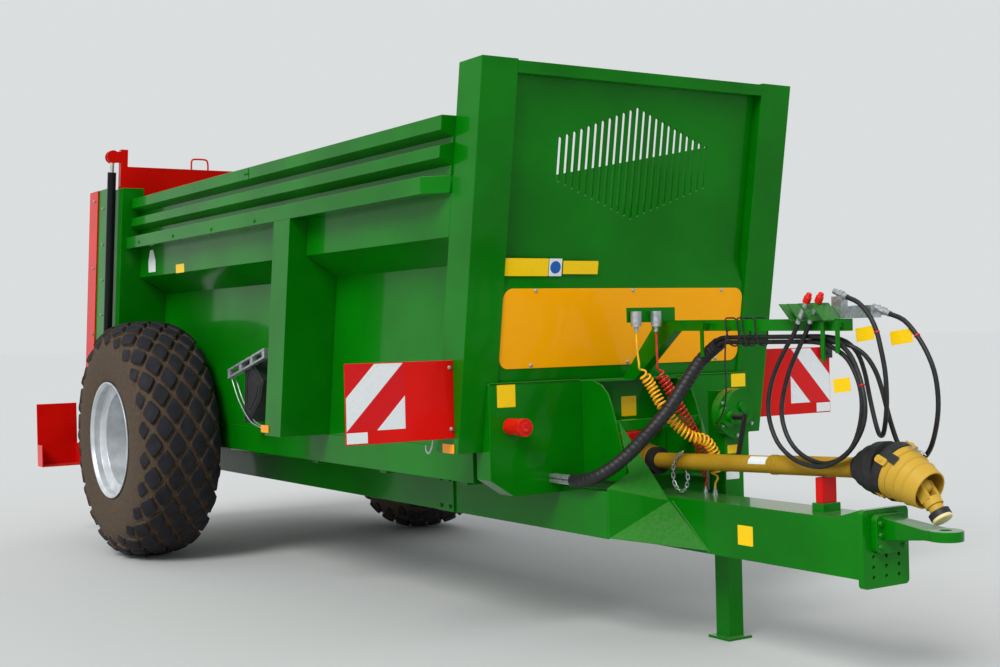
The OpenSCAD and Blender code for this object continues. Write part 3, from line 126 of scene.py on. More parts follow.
def finish(name, **sockets):
    """A new material with these values on its shader: itself, its nodes and its place."""
    material = bpy.data.materials.new(name)
    material.use_nodes = True
    tree = material.node_tree
    for socket, value in sockets.items():
        tree.nodes["Principled BSDF"].inputs[socket.replace("_", " ")].default_value = value
    return material, tree, add(tree, "TexCoord", out="Object")


def cover(material, colour, height=None, depth=0.0, strength=1.0):
    """Lays a colour on a material and, where it has one, a relief of this depth in metres."""
    tree = material.node_tree
    shader = tree.nodes["Principled BSDF"]
    tree.links.new(colour, shader.inputs["Base Color"])
    if height is not None:
        bumps = add(tree, "Bump", {"Height": height, "Distance": depth, "Strength": strength})
        tree.links.new(bumps, shader.inputs["Normal"])
    return material


def mottle(tree, place, light, dark, size, low=0.35, high=0.65, detail=4.0):
    """A colour that drifts between two over patches of this size, in metres."""
    noise = add(tree, "TexNoise", {"Vector": place, "Scale": 1 / size, "Detail": detail})
    drift = add(tree, "MapRange", {"Value": noise, "From Min": low, "From Max": high})
    return add(tree, "Mix", {FAR: drift, FROM: dark, TO: light}, BLEND, data_type="RGBA")


def enamel(name, light, dark, rough=0.3):
    """Two-pack enamel sprayed on blasted steel: a wet gloss with a faint orange peel,
    drawn at 6 mm so that it shows, a slow drift of tone between panels, and a film of
    pale dust caught on the faces that look up."""
    material, tree, place = finish(
        name, Roughness=rough, Specular_IOR_Level=0.06, Coat_Weight=0.8, Coat_IOR=1.2,
        Coat_Roughness=0.08,
    )
    colour = mottle(tree, place, light, dark, 0.55)
    normal = add(tree, "NewGeometry", out="Normal")
    up = add(tree, "SeparateXYZ", {"Vector": normal}, "Z")
    specks = add(tree, "TexNoise", {"Vector": place, "Scale": 1 / 0.02, "Detail": 6.0})
    lies = add(tree, "Math", {0: up, 1: specks}, operation="MULTIPLY")
    dust = add(tree, "Math", {0: lies, 1: DUST}, operation="MULTIPLY")
    colour = add(tree, "Mix", {FAR: dust, FROM: colour, TO: "#b8b09c"}, BLEND, data_type="RGBA")
    peel = add(tree, "TexNoise", {"Vector": place, "Scale": 1 / 0.006, "Detail": 1.0})
    return cover(material, colour, peel, 0.0004, 0.3)


def tyre_rubber():
    """Vulcanised rubber that has rolled over a field: black-grey on the lugs, brown on the
    walls, with dry soil lying in the grooves. The mesh says how proud of the grooves each
    point stands."""
    material, tree, place = finish("tyre_rubber", Roughness=0.8, Specular_IOR_Level=0.25)
    soil = add(tree, "TexNoise", {"Vector": place, "Scale": 1 / 0.03, "Detail": 9.0})
    groove = add(tree, "Mix", {FAR: soil, FROM: "#2e2620", TO: "#5b4a38"}, BLEND,
                 data_type="RGBA")
    lug = mottle(tree, place, "#25242a", "#16161a", 0.1, 0.3, 0.7, 7.0)
    proud = add(tree, "Attribute", out="Fac", attribute_name="proud")
    wiped = add(tree, "MapRange", {"Value": proud, "From Min": 0.3, "From Max": 0.8})
    colour = add(tree, "Mix", {FAR: wiped, FROM: groove, TO: lug}, BLEND, data_type="RGBA")
    grain = add(tree, "TexNoise", {"Vector": place, "Scale": 1 / 0.004, "Detail": 6.0})
    return cover(material, colour, grain, 0.001, 0.5)


def silver_rim_lacquer():
    """Aluminium-flake lacquer on a pressed rim: pale, half metallic, soft highlights, with
    a grey bloom of road dirt. The flake is drawn at 3 mm so that it shows."""
    material, tree, place = finish("silver_rim_lacquer", Roughness=0.36, Metallic=0.5)
    colour = mottle(tree, place, "#d3d7da", "#aeb2b4", 0.12, 0.3, 0.7, 6.0)
    flake = add(tree, "TexNoise", {"Vector": place, "Scale": 1 / 0.003, "Detail": 2.0})
    return cover(material, colour, flake, 0.0002, 0.3)


def hot_dip_zinc(name):
    """Hot-dip galvanised steel: zinc crystals about 12 mm across, each a slightly
    different grey."""
    material, tree, place = finish(name, Metallic=0.85, Roughness=0.42)
    crystal = add(tree, "TexVoronoi", {"Vector": place, "Scale": 1 / 0.012}, "Color")
    colour = add(tree, "Mix", {FAR: crystal, FROM: "#9ea3a6", TO: "#c8ccce"}, BLEND,
                 data_type="RGBA")
    return cover(material, colour)


def hard_chrome():
    """Ground and chromed rod: a mirror with a breath of haze."""
    material, tree, place = finish("hard_chrome", Metallic=1.0, Roughness=0.12)
    return cover(material, mottle(tree, place, "#e4e6e8", "#d2d5d8", 0.03))


def scoured_steel():
    """Bare steel scoured by the load: brown-grey with bright streaks."""
    material, tree, place = finish("scoured_steel", Metallic=0.8, Roughness=0.5)
    return cover(material, mottle(tree, place, "#8a857e", "#4c443c", 0.04, 0.3, 0.7, 8.0))


def polyethylene(name, light, dark, rough, cone=None):
    """Moulded polyethylene, bleached and dusty: waxy, broad highlights, with scuffs that
    are paler than the rest. The shaft guard's cone, moulded apart, has its own shade."""
    material, tree, place = finish(name, Roughness=rough, Specular_IOR_Level=0.2)
    colour = mottle(tree, place, light, dark, 0.16, 0.3, 0.75, 5.0)
    if cone:
        y = add(tree, "SeparateXYZ", {"Vector": place}, "Y")
        ahead = add(tree, "Math", {0: y, 1: CONE_START_Y}, operation="LESS_THAN")
        colour = add(tree, "Mix", {FAR: ahead, FROM: colour, TO: cone}, BLEND, data_type="RGBA")
    scuff = add(tree, "TexNoise", {"Vector": place, "Scale": 1 / 0.012, "Detail": 8.0})
    worn = add(tree, "MapRange", {
        "Value": scuff, "From Min": 0.62, "From Max": 0.74, "To Max": SCUFF,
    })
    colour = add(tree, "Mix", {FAR: worn, FROM: colour, TO: "#d8cfb4"}, BLEND, data_type="RGBA")
    grain = add(tree, "TexNoise", {"Vector": place, "Scale": 1 / 0.005, "Detail": 3.0})
    return cover(material, colour, grain, 0.0004, 0.3)


def moulded_black():
    """Injection-moulded black plastic with a fine spark-eroded grain, drawn at 3 mm."""
    material, tree, place = finish("moulded_black", Roughness=0.55, Specular_IOR_Level=0.4)
    grain = add(tree, "TexNoise", {"Vector": place, "Scale": 1 / 0.003, "Detail": 2.0})
    return cover(material, mottle(tree, place, "#202022", "#141415", 0.04), grain, 0.0004, 0.5)


def hose_rubber():
    """Extruded hose rubber: black with a grey bloom, and the faint weave of the cloth that
    it was cured in, drawn at 4 mm."""
    material, tree, place = finish("hose_rubber", Roughness=0.5, Specular_IOR_Level=0.4)
    weave = add(tree, "TexMagic", {"Vector": place, "Scale": 1 / 0.004, "Distortion": 1.0}, "Fac")
    return cover(material, mottle(tree, place, "#1d1d1f", "#101011", 0.05), weave, 0.0003, 0.4)


def air_hose(name, light, dark):
    """Extruded polyurethane air hose: a clear strong colour, glossy, slightly milky where
    it turns."""
    material, tree, place = finish(name, Roughness=0.28, Coat_Weight=0.3, Specular_IOR_Level=0.5)
    return cover(material, mottle(tree, place, light, dark, 0.03))


def reflective_film(name, light, dark):
    """Retroreflective sheeting: flat colour broken into fine sealed cells of 4 mm, under a
    clear gloss film."""
    material, tree, place = finish(
        name, Roughness=0.4, Specular_IOR_Level=0.1, Coat_Weight=0.6, Coat_IOR=1.25,
        Coat_Roughness=0.08,
    )
    cells = add(tree, "TexVoronoi", {"Vector": place, "Scale": 1 / 0.004},
                feature="DISTANCE_TO_EDGE")
    inside = add(tree, "MapRange", {"Value": cells, "From Min": 0.02, "From Max": 0.12})
    colour = add(tree, "Mix", {FAR: inside, FROM: dark, TO: light}, BLEND, data_type="RGBA")
    return cover(material, colour)


def lens(name, colour, outer=None):
    """Moulded acrylic lens: deep colour with rows of 6 mm prisms behind a smooth face, and a
    painted glint on them: every other 6 mm square is lifted a little towards pale cream. A
    rear lamp has another colour in its outer field."""
    material, tree, place = finish(name, Roughness=0.15, Specular_IOR_Level=0.3)
    if outer:
        x = add(tree, "SeparateXYZ", {"Vector": place}, "X")
        reach = add(tree, "Math", {0: x}, operation="ABSOLUTE")
        beyond = add(tree, "Math", {0: reach, 1: LAMP_SPLIT_X}, operation="GREATER_THAN")
        colour = add(tree, "Mix", {FAR: beyond, FROM: colour, TO: outer}, BLEND,
                     data_type="RGBA")
    prisms = add(tree, "TexChecker", {"Vector": place, "Scale": 1 / 0.006}, "Fac")
    # Painted glint: the prisms' squares are lifted towards pale cream, a painted highlight
    painted_glint = add(tree, "Math", {0: prisms, 1: PRISM_PAINTED_GLINT}, operation="MULTIPLY")
    colour = add(tree, "Mix", {FAR: painted_glint, FROM: colour, TO: "#f4d8a8"}, BLEND, data_type="RGBA")
    return cover(material, colour, prisms, 0.0005, 0.4)


# The finishes by the record's slots
FINISHES = {
    "green_paint": enamel("green_enamel", "#037005", "#026203"),
    "red_paint": enamel("red_enamel", "#cf0d06", "#bd0904"),
    "yellow_paint": enamel("yellow_enamel", "#f6a600", "#f0a000", 0.4),
    "black_paint": enamel("black_enamel", "#17181a", "#101113"),
    "red_plastic": polyethylene("red_polyethylene", "#d8160a", "#c01208", 0.36),
    "yellow_plastic": polyethylene("yellow_polyethylene", "#a8831c", "#937014", 0.48, "#b9942f"),
    "black_plastic": moulded_black(),
    "tyre": tyre_rubber(),
    "rim_paint": silver_rim_lacquer(),
    "galvanised_steel": hot_dip_zinc("hot_dip_zinc"),
    "chrome_steel": hard_chrome(),
    "worn_steel": scoured_steel(),
    "lamp_lens": lens("lamp_acrylic", "#b00d0a", "#d2690a"),
    "hose_rubber": hose_rubber(),
    "yellow_coil": air_hose("yellow_air_hose", "#f2b40a", "#e09d04"),
    "red_coil": air_hose("red_air_hose", "#d01810", "#ac0f0a"),
}

# Finishes of the small things that the frame doesn't hold
EXTRAS = {
    "white_film": reflective_film("white_film", "#dfe2e2", "#bfc4c6"),
    "red_film": reflective_film("red_film", "#cf0f14", "#b00a0c"),
    "yellow_film": reflective_film("yellow_film", "#f3c808", "#dcb004"),
    "blue_film": reflective_film("blue_film", "#1d5fb0", "#154784"),
    "amber_lens": lens("amber_acrylic", "#ee9200"),
    "bolt_zinc": hot_dip_zinc("bolt_zinc"),
    "cream_plastic": polyethylene("cream_polyethylene", "#e3d6a4", "#cdbf88", 0.48),
}


# Edges of nodes and pieces
EDGE = 0.003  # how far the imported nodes' edges are broken
EDGE_LIMIT = math.radians(32)
SHADE_LIMIT = math.radians(40)
SAME_POINT = 0.00001  # points this close are one
FLAT_LIMIT = math.radians(0.6)  # facets that turn less are one face


def break_edges(made, width):
    """Rounds the sharp edges of a piece a little."""
    bevel = made.modifiers.new("edges", "BEVEL")
    bevel.width = width
    bevel.segments = 2
    bevel.limit_method = "ANGLE"
    bevel.angle_limit = EDGE_LIMIT


def dress_nodes():
    """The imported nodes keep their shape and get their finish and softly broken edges."""
    slots = {s["node"]: s["material_slot"] for s in frame["record"]["subparts"]}
    for name, made in frame["nodes"].items():
        made.data.materials.clear()
        made.data.materials.append(FINISHES[slots[name]])
        made.data.polygons.foreach_set("use_smooth", [True] * len(made.data.polygons))
        made.modifiers.new("weld", "WELD").merge_threshold = SAME_POINT
        flatten = made.modifiers.new("flatten", "DECIMATE")
        flatten.decimate_type = "DISSOLVE"
        flatten.angle_limit = FLAT_LIMIT
        break_edges(made, EDGE)
        made.modifiers.new("shade", "WEIGHTED_NORMAL").weight = 100


dress_nodes()


# Lines
def smooth(points, steps=2):
    """A smooth curve through points, with this many steps to each stretch."""
    points = [Vector(p) for p in points]
    last = len(points) - 1
    line = []
    for i in range(last):
        a, b, c, d = points[max(i - 1, 0)], points[i], points[i + 1], points[min(i + 2, last)]
        for k in range(steps):
            t = k / steps
            square, cube = t * t, t * t * t
            line.append(
                0.5 * (2 * b + (c - a) * t + (2 * a - 5 * b + 4 * c - d) * square
                       + (3 * b - 3 * c + d - a) * cube)
            )
    return line + [points[-1]]


def length_of(line):
    """The length of a line through its points."""
    return sum((b - a).length for a, b in zip(line, line[1:]))


def evenly(line, step):
    """Points along a line at equal steps, with its own ends."""
    total = length_of(line)
    count = max(2, round(total / step))
    out, run, i = [line[0].copy()], 0.0, 0
    for k in range(1, count):
        goal = total * k / count
        while run + (line[i + 1] - line[i]).length < goal:
            run += (line[i + 1] - line[i]).length
            i += 1
        out.append(line[i].lerp(line[i + 1], (goal - run) / (line[i + 1] - line[i]).length))
    return out + [line[-1].copy()]


def frames(line, closed=False):
    """For each point of a line: the direction ahead and two directions square to it,
    carried along without twist."""
    n = len(line)
    out, side = [], None
    for i in range(n):
        if closed:
            ahead = line[(i + 1) % n] - line[i - 1]
        else:
            ahead = line[min(i + 1, n - 1)] - line[max(i - 1, 0)]
        ahead.normalize()
        if side is None:
            side = ahead.orthogonal()
        side = (side - side.dot(ahead) * ahead).normalized()
        out.append((ahead, side, ahead.cross(side)))
    return out


def square_to(axis):
    """Two directions square to an axis and to each other."""
    u = axis.orthogonal().normalized()
    return u, axis.cross(u)


def around(centre, u, v, radius, sides):
    """Points on a circle in the plane of u and v."""
    step = 2 * math.pi / sides
    return [
        centre + radius * (math.cos(i * step) * u + math.sin(i * step) * v) for i in range(sides)
    ]


# Shapes: each adds to the mesh of one piece
def skin(bm, rings, closed=False):
    """Joins rings of points into a closed shell."""
    rows = [[bm.verts.new(p) for p in ring] for ring in rings]
    count = len(rows[0])
    pairs = list(zip(rows, rows[1:])) + ([(rows[-1], rows[0])] if closed else [])
    for low, high in pairs:
        for i in range(count):
            j = (i + 1) % count
            bm.faces.new((low[i], low[j], high[j], high[i]))
    if not closed:
        bm.faces.new(rows[0][::-1])
        bm.faces.new(rows[-1])


def turned(bm, start, axis, profile, sides=24):
    """A turned shape from rows of distance along its axis and radius."""
    start, axis = Vector(start), Vector(axis).normalized()
    u, v = square_to(axis)
    skin(bm, [around(start + d * axis, u, v, r, sides) for d, r in profile])


def hoop(bm, centre, axis, profile, sides=64):
    """A closed hoop about an axis from an outline of distance along it and radius."""
    centre, axis = Vector(centre), Vector(axis).normalized()
    rays = around(Vector((0, 0, 0)), *square_to(axis), 1.0, sides)
    skin(bm, [[centre + d * axis + r * ray for d, r in profile] for ray in rays], closed=True)


def tube(bm, line, radius, sides=8, closed=False):
    """A round bar bent along a line; the radius is a number or one for each point."""
    line = [Vector(p) for p in line]
    radii = [radius] * len(line) if isinstance(radius, float) else radius
    turns = zip(line, radii, frames(line, closed))
    skin(bm, [around(p, u, v, r, sides) for p, r, (_, u, v) in turns], closed)


def prism(bm, outline, depth):
    """A flat outline pushed along a vector."""
    outline = [Vector(p) for p in outline]
    skin(bm, [outline, [p + Vector(depth) for p in outline]])


def block(bm, corner, opposite):
    """A block between two opposite corners."""
    (x0, x1), (y0, y1), (z0, z1) = (sorted(pair) for pair in zip(corner, opposite))
    prism(bm, [(x0, y0, z0), (x1, y0, z0), (x1, y1, z0), (x0, y1, z0)], (0, 0, z1 - z0))


def bar(bm, a, b, width, height, up=(0, 0, 1)):
    """A straight bar between two points, with its height along up."""
    a, b = Vector(a), Vector(b)
    ahead = (b - a).normalized()
    side = ahead.cross(Vector(up)).normalized()
    top = side.cross(ahead)
    corners = ((-1, -1), (1, -1), (1, 1), (-1, 1))
    prism(bm, [a + i * side * width / 2 + k * top * height / 2 for i, k in corners], b - a)


def rounded(width, height, radius, steps=4):
    """A rectangle's outline with round corners, about its middle."""
    out = []
    for quarter, (i, k) in enumerate(((1, 1), (-1, 1), (-1, -1), (1, -1))):
        for n in range(steps + 1):
            a = math.pi / 2 * (quarter + n / steps)
            out.append((
                i * (width / 2 - radius) + radius * math.cos(a),
                k * (height / 2 - radius) + radius * math.sin(a),
            ))
    return out


LABEL_CORNER = 0.004
LABEL_THICK = 0.0008


def film(bm, middle, across, up, width, height, corner=LABEL_CORNER, thick=LABEL_THICK):
    """A thin label with round corners, lying on a face; its outside is across x up."""
    middle, across, up = Vector(middle), Vector(across).normalized(), Vector(up).normalized()
    out = across.cross(up).normalized()
    outline = [middle + a * across + b * up for a, b in rounded(width, height, corner)]
    prism(bm, outline, out * thick)


BOLT = 0.012  # washer's radius of a common bolt
SMALL_BOLT = 0.01


def bolt(bm, place, out, size=BOLT, nut=False):
    """A hexagon bolt's head on its washer, or a nut with the bolt's end in it."""
    place, out = Vector(place), Vector(out).normalized()
    turned(bm, place, out, [(0, size), (size * 0.2, size), (size * 0.22, size * 0.9)], 20)
    u, v = square_to(out)
    base, top = place + out * size * 0.21, place + out * size * 0.85
    skin(bm, [
        around(base, u, v, size * 0.88, 6), around(top - out * size * 0.1, u, v, size * 0.88, 6),
        around(top, u, v, size * 0.76, 6),
    ])
    if nut:
        turned(bm, top - out * 0.001, out, [(0, size / 2), (size * 0.35, size / 2),
                                            (size * 0.42, size * 0.42)], 12)


RIPPLE = 0.006
RIPPLE_WAIST = 0.82  # a bead's radius between two ripples, as a share of its full radius


def weld(bm, line, radius):
    """A weld bead: a rounded seam with the ripples of its passes."""
    line = evenly([Vector(p) for p in line], RIPPLE / 2)
    tube(bm, line, [radius * (1.0 if i % 2 else RIPPLE_WAIST) for i in range(len(line))], 6)


def link(bm, centre, ahead, side, long, wide, wire):
    """One oval link of a chain."""
    centre, ahead, side = Vector(centre), Vector(ahead).normalized(), Vector(side)
    side = (side - side.dot(ahead) * ahead).normalized()
    loop = []
    straight, points = (long - wide) / 2, 16
    for i in range(points):
        a = 2 * math.pi * (i + 0.5) / points
        push = straight if math.cos(a) > 0 else -straight
        loop.append(centre + (push + wide / 2 * math.cos(a)) * ahead + wide / 2 * math.sin(a) * side)
    tube(bm, loop, wire / 2, 6, closed=True)


def chain(bm, line, pitch=0.022, wide=0.015, wire=0.0045):
    """A chain along a line, each link turned across the one before."""
    line = evenly([Vector(p) for p in line], pitch)
    for i, (a, b) in enumerate(zip(line, line[1:])):
        ahead = (b - a).normalized()
        side = ahead.orthogonal().normalized()
        if i % 2:
            side = ahead.cross(side)
        link(bm, (a + b) / 2, ahead, side, pitch + 2 * wire, wide, wire)


# Pieces
def wear(made, look):
    """Gives a piece its finish: a slot of the record or an extra one of this scene."""
    made.data.materials.append(FINISHES[look] if look in FINISHES else EXTRAS[look])


def piece(name, build, look, body="root", soft=0.0):
    """A piece from a function that fills its mesh, in a look, riding on a body; soft is
    the width of its broken edges."""
    bm = bmesh.new()
    build(bm)
    bmesh.ops.recalc_face_normals(bm, faces=bm.faces)
    mesh = bpy.data.meshes.new(name)
    bm.to_mesh(mesh)
    bm.free()
    made = bpy.data.objects.new(name, mesh)
    bpy.context.scene.collection.objects.link(made)
    if soft:
        break_edges(made, soft)
    mesh.polygons.foreach_set("use_smooth", [True] * len(mesh.polygons))
    mesh.set_sharp_from_angle(angle=SHADE_LIMIT)
    wear(made, look)
    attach(made, body)
    return made


def both(build):
    """Runs a builder for the right side and for the left, with the side's sign."""
    def build_both(bm):
        for side in (-1, 1):
            build(bm, side)
    return build_both


# Cords: hoses, air coils and a cable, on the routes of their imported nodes
ROUTE_A = [
    (-0.08, -3.305, 1.625), (-0.08, -3.275, 1.573), (-0.082, -3.21, 1.49),
    (-0.084, -3.14, 1.377), (-0.086, -3.108, 1.262), (-0.088, -3.116, 1.166),
    (-0.09, -3.165, 1.073), (-0.092, -3.245, 1.012), (-0.092, -3.332, 0.982),
    (-0.092, -3.44, 0.975), (-0.092, -3.53, 1.003), (-0.09, -3.614, 1.058),
    (-0.088, -3.672, 1.13), (-0.084, -3.698, 1.197), (-0.078, -3.698, 1.267),
    (-0.068, -3.675, 1.34), (-0.05, -3.632, 1.413), (-0.032, -3.575, 1.48),
    (-0.024, -3.505, 1.528), (-0.024, -3.435, 1.552), (-0.024, -3.35, 1.562),
    (-0.024, -3.2, 1.564), (-0.024, -3, 1.564), (-0.024, -2.82, 1.564),
    (-0.024, -2.722, 1.562), (-0.024, -2.686, 1.545),
]
ROUTE_B = [
    (-0.05, -3.35, 1.625), (-0.05, -3.32, 1.573), (-0.05, -3.281, 1.515),
    (-0.052, -3.218, 1.41), (-0.055, -3.175, 1.29), (-0.058, -3.165, 1.197),
    (-0.062, -3.2, 1.105), (-0.065, -3.265, 1.038), (-0.066, -3.35, 1),
    (-0.066, -3.445, 0.988), (-0.066, -3.545, 1.02), (-0.064, -3.612, 1.081),
    (-0.06, -3.65, 1.17), (-0.055, -3.66, 1.26), (-0.048, -3.643, 1.34),
    (-0.038, -3.602, 1.41), (-0.028, -3.55, 1.465), (-0.024, -3.485, 1.503),
    (-0.024, -3.42, 1.527), (-0.024, -3.34, 1.538), (-0.024, -3.2, 1.54),
    (-0.024, -3, 1.54), (-0.024, -2.82, 1.54), (-0.024, -2.728, 1.54),
    (-0.024, -2.698, 1.525),
]
ROUTE_C = [
    (0.04, -3.5, 1.738), (0.04, -3.565, 1.712), (0.04, -3.625, 1.656),
    (0.04, -3.665, 1.588), (0.04, -3.69, 1.503), (0.042, -3.708, 1.411),
    (0.045, -3.712, 1.32), (0.05, -3.705, 1.235), (0.065, -3.68, 1.16),
    (0.095, -3.64, 1.118), (0.13, -3.59, 1.115), (0.155, -3.55, 1.15), (0.165, -3.52, 1.22),
    (0.165, -3.5, 1.3), (0.15, -3.49, 1.4), (0.115, -3.482, 1.485), (0.07, -3.455, 1.538),
    (0.025, -3.4, 1.559), (0, -3.33, 1.564), (0, -3.2, 1.564), (0, -3, 1.564),
    (0, -2.82, 1.564), (0, -2.722, 1.562), (0, -2.686, 1.545),
]
ROUTE_E = [
    (0.1, -3.695, 1.657), (0.1, -3.77, 1.629), (0.1, -3.835, 1.568), (0.1, -3.89, 1.493),
    (0.105, -3.925, 1.41), (0.11, -3.938, 1.323), (0.12, -3.93, 1.234),
    (0.135, -3.9, 1.143), (0.15, -3.855, 1.06), (0.16, -3.795, 1.012),
    (0.16, -3.728, 1.015), (0.15, -3.683, 1.07), (0.135, -3.66, 1.15),
    (0.12, -3.645, 1.235), (0.108, -3.628, 1.325), (0.095, -3.605, 1.405),
    (0.075, -3.565, 1.475), (0.045, -3.51, 1.517), (0.015, -3.445, 1.534), (0, -3.37, 1.54),
    (0, -3.2, 1.54), (0, -3, 1.54), (0, -2.82, 1.54), (0, -2.728, 1.54), (0, -2.698, 1.525),
]
ROUTE_SLEEVE = [
    (-0.012, -2.69, 1.534), (-0.014, -2.65, 1.51), (-0.025, -2.605, 1.475),
    (-0.05, -2.57, 1.43), (-0.11, -2.535, 1.33), (-0.2, -2.509, 1.206),
    (-0.28, -2.465, 1.105), (-0.35, -2.4, 1.005), (-0.42, -2.345, 0.93),
    (-0.47, -2.29, 0.885), (-0.495, -2.23, 0.86), (-0.5, -2.165, 0.848),
    (-0.5, -2.13, 0.845), (-0.5, -2.1, 0.845),
]
ROUTE_CABLE = [
    (-0.032, -2.79, 1.606), (-0.046, -2.79, 1.592), (-0.056, -2.79, 1.56),
    (-0.06, -2.787, 1.5), (-0.056, -2.78, 1.43), (-0.04, -2.766, 1.316),
    (-0.012, -2.722, 1.228), (0.022, -2.65, 1.16), (0.046, -2.592, 1.132),
    (0.078, -2.556, 1.124),
]
ROUTE_YELLOW = [
    (-0.255, -2.338, 1.6), (-0.255, -2.34, 1.54), (-0.25, -2.342, 1.47),
    (-0.238, -2.343, 1.415), (-0.228, -2.344, 1.395), (-0.18, -2.355, 1.325),
    (-0.15, -2.4, 1.225), (-0.11, -2.46, 1.13), (-0.05, -2.505, 1.065),
    (0.025, -2.53, 1.04), (0.08, -2.535, 0.965), (0.092, -2.525, 0.88),
    (0.09, -2.52, 0.785),
]
ROUTE_RED = [
    (-0.125, -2.338, 1.6), (-0.125, -2.34, 1.54), (-0.125, -2.342, 1.47),
    (-0.122, -2.344, 1.415), (-0.118, -2.346, 1.395), (-0.085, -2.37, 1.32),
    (-0.05, -2.395, 1.24), (-0.01, -2.42, 1.15), (0.05, -2.432, 1.045),
    (0.092, -2.437, 0.93), (0.098, -2.44, 0.785),
]

HOSE_R = 0.011
SLEEVE_R = 0.035
AIR_R = 0.0055
CABLE_R = 0.004
COIL_R = 0.0255
COIL_PITCH = 0.022
COIL_WIND = 0.1  # the run over which a coil grows to its full width
COIL_LEAD = 0.15  # straight run before a coil
COIL_TAIL = 0.012
TURN_POINTS = 14
SPIRAL_PITCH = 0.028  # the flat guard wound on the sleeve
SPIRAL_GAP = 0.22  # share of a turn that it leaves bare
SPIRAL_THICK = 0.0022
SLEEVE_STEP = 0.005  # between the rings of points that draw the sleeve
GLAND_FOOT_Z = 0.7602  # where the air coils enter the drawbar
GLAND = [(0, 0.014), (0.008, 0.014), (0.009, 0.011), (0.021, 0.011), (0.024, 0.0075),
         (0.034, 0.0075)]


def spline(name, line, radius, look):
    """A round cord: one open spline with a bevel."""
    data = bpy.data.curves.new(name, "CURVE")
    data.dimensions = "3D"
    data.bevel_depth = radius
    data.bevel_resolution = 3
    data.use_fill_caps = True
    track = data.splines.new("POLY")
    track.points.add(len(line) - 1)
    for point, place in zip(track.points, line):
        point.co = (*place, 1)
    track.use_smooth = True
    made = bpy.data.objects.new(name, data)
    bpy.context.scene.collection.objects.link(made)
    wear(made, look)
    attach(made, "root")
    return made


def coiled(route):
    """A line that runs straight for a lead, winds up into a coil, and ends straight."""
    centre = evenly(smooth(route, 6), COIL_PITCH / TURN_POINTS)
    total = length_of(centre)
    step = total / (len(centre) - 1)
    angle, out = 0.0, []
    for i, (place, (_, u, v)) in enumerate(zip(centre, frames(centre))):
        wound = min(i * step - COIL_LEAD, total - COIL_TAIL - i * step) / COIL_WIND
        part = min(max(wound, 0.0), 1.0)
        part = part * part * (3 - 2 * part)
        out.append(place + COIL_R * part * (math.cos(angle) * u + math.sin(angle) * v))
        angle += step / (COIL_PITCH * (1 - part) + COIL_PITCH / (2 * math.pi) * part)
    return out


def wrapped(bm, line):
    """The sleeve: a tube wound with a flat spiral guard, whose edges stand proud."""
    rings, run, sides = [], 0.0, 24
    for i, (place, (_, u, v)) in enumerate(zip(line, frames(line))):
        if i:
            run += (place - line[i - 1]).length
        ring = []
        for k, ray in enumerate(around(Vector((0, 0, 0)), u, v, 1.0, sides)):
            bare = (run / SPIRAL_PITCH - k / sides) % 1.0 < SPIRAL_GAP
            ring.append(place + (SLEEVE_R - (SPIRAL_THICK if bare else 0.0)) * ray)
        rings.append(ring)
    skin(bm, rings)


def lay_cords():
    """The hoses, their sleeve, the cable and the air coils with the glands they end in."""
    for name, route in (("a", ROUTE_A), ("b", ROUTE_B), ("c", ROUTE_C), ("e", ROUTE_E)):
        line = smooth(route, 3)
        hose = spline("rubber_hose_" + name, line, HOSE_R, "hose_rubber")
        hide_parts("hose_" + name)

    line = evenly(smooth(ROUTE_SLEEVE, 4), SLEEVE_STEP)
    sleeve = piece("spiral_sleeve", lambda bm: wrapped(bm, line), "hose_rubber")
    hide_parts("hose_sleeve")

    line = smooth(ROUTE_CABLE, 4)
    cable = spline("lighting_cable", line, CABLE_R, "hose_rubber")
    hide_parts("rack_cable")

    for name, route in (("yellow", ROUTE_YELLOW), ("red", ROUTE_RED)):
        line = coiled(route)
        coil = spline(name + "_air_coil", line, AIR_R, name + "_coil")
        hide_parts("coil_" + name)
        foot = (*route[-1][:2], GLAND_FOOT_Z)
        gland = piece(name + "_gland", lambda bm: turned(bm, foot, (0, 0, 1), GLAND, 12),
                      "bolt_zinc")


lay_cords()


# Faces that the small parts of the body lie on
UP_LEAN = (0, -math.sin(LEAN), math.cos(LEAN))
OUT_LEAN = (0, -math.cos(LEAN), -math.sin(LEAN))
AHEAD = (0, -1, 0)
UP = (0, 0, 1)
PLATE_LOW, PLATE_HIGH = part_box("front_plate")
PLATE_ETA = PLATE_LOW.y - lean_y(PLATE_HIGH.z)  # the plate's face behind the posts' face
PLATE_DEPTH = 0.0043  # the wall's face behind the plate's face
BOARD_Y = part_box("warning_boards")[0].y
MID_POST_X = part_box("mid_posts")[1].x
RAIL_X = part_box("top_rails")[1].x
HOUSING_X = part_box("housing_sides")[1].x
STRIP_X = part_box("housing_strips")[1].x
EXTENSION_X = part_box("extension_left")[1].x


def on_front(x, z, out=0.0):
    """A point on the face of the front plate, or this far out from it."""
    return Vector((x, lean_y(z) + PLATE_ETA - out, z))


# Warning boards: red and white hatching on a square of film; the left board's corners
BOARD_FIELD = [(1.655, 1.147), (1.327, 1.147), (1.327, 1.475), (1.655, 1.475)]
BOARD_STRIPES = [
    [(1.496, 1.475), (1.335, 1.475), (1.655, 1.147), (1.655, 1.311)],
    [(1.327, 1.312), (1.327, 1.147), (1.487, 1.147)],
]
BOARD_FOOT = [(1.655, 1.087), (1.54, 1.087), (1.54, 1.141), (1.655, 1.141)]
BOARD_BOLTS = [(1.065, 1.443), (1.061, 1.13)]
FIELD_THICK = 0.0006
STRIPE_THICK = 0.0011  # it stands proud of the field that it crosses
LAMP_BOX = (1.578, 1.656), (1.412, 1.503)
LAMP_BOX_DEPTH = 0.03
LAMP_EYE = (1.617, 1.46)
LAMP_RIM = [(0, 0.026), (0.006, 0.026), (0.011, 0.02)]


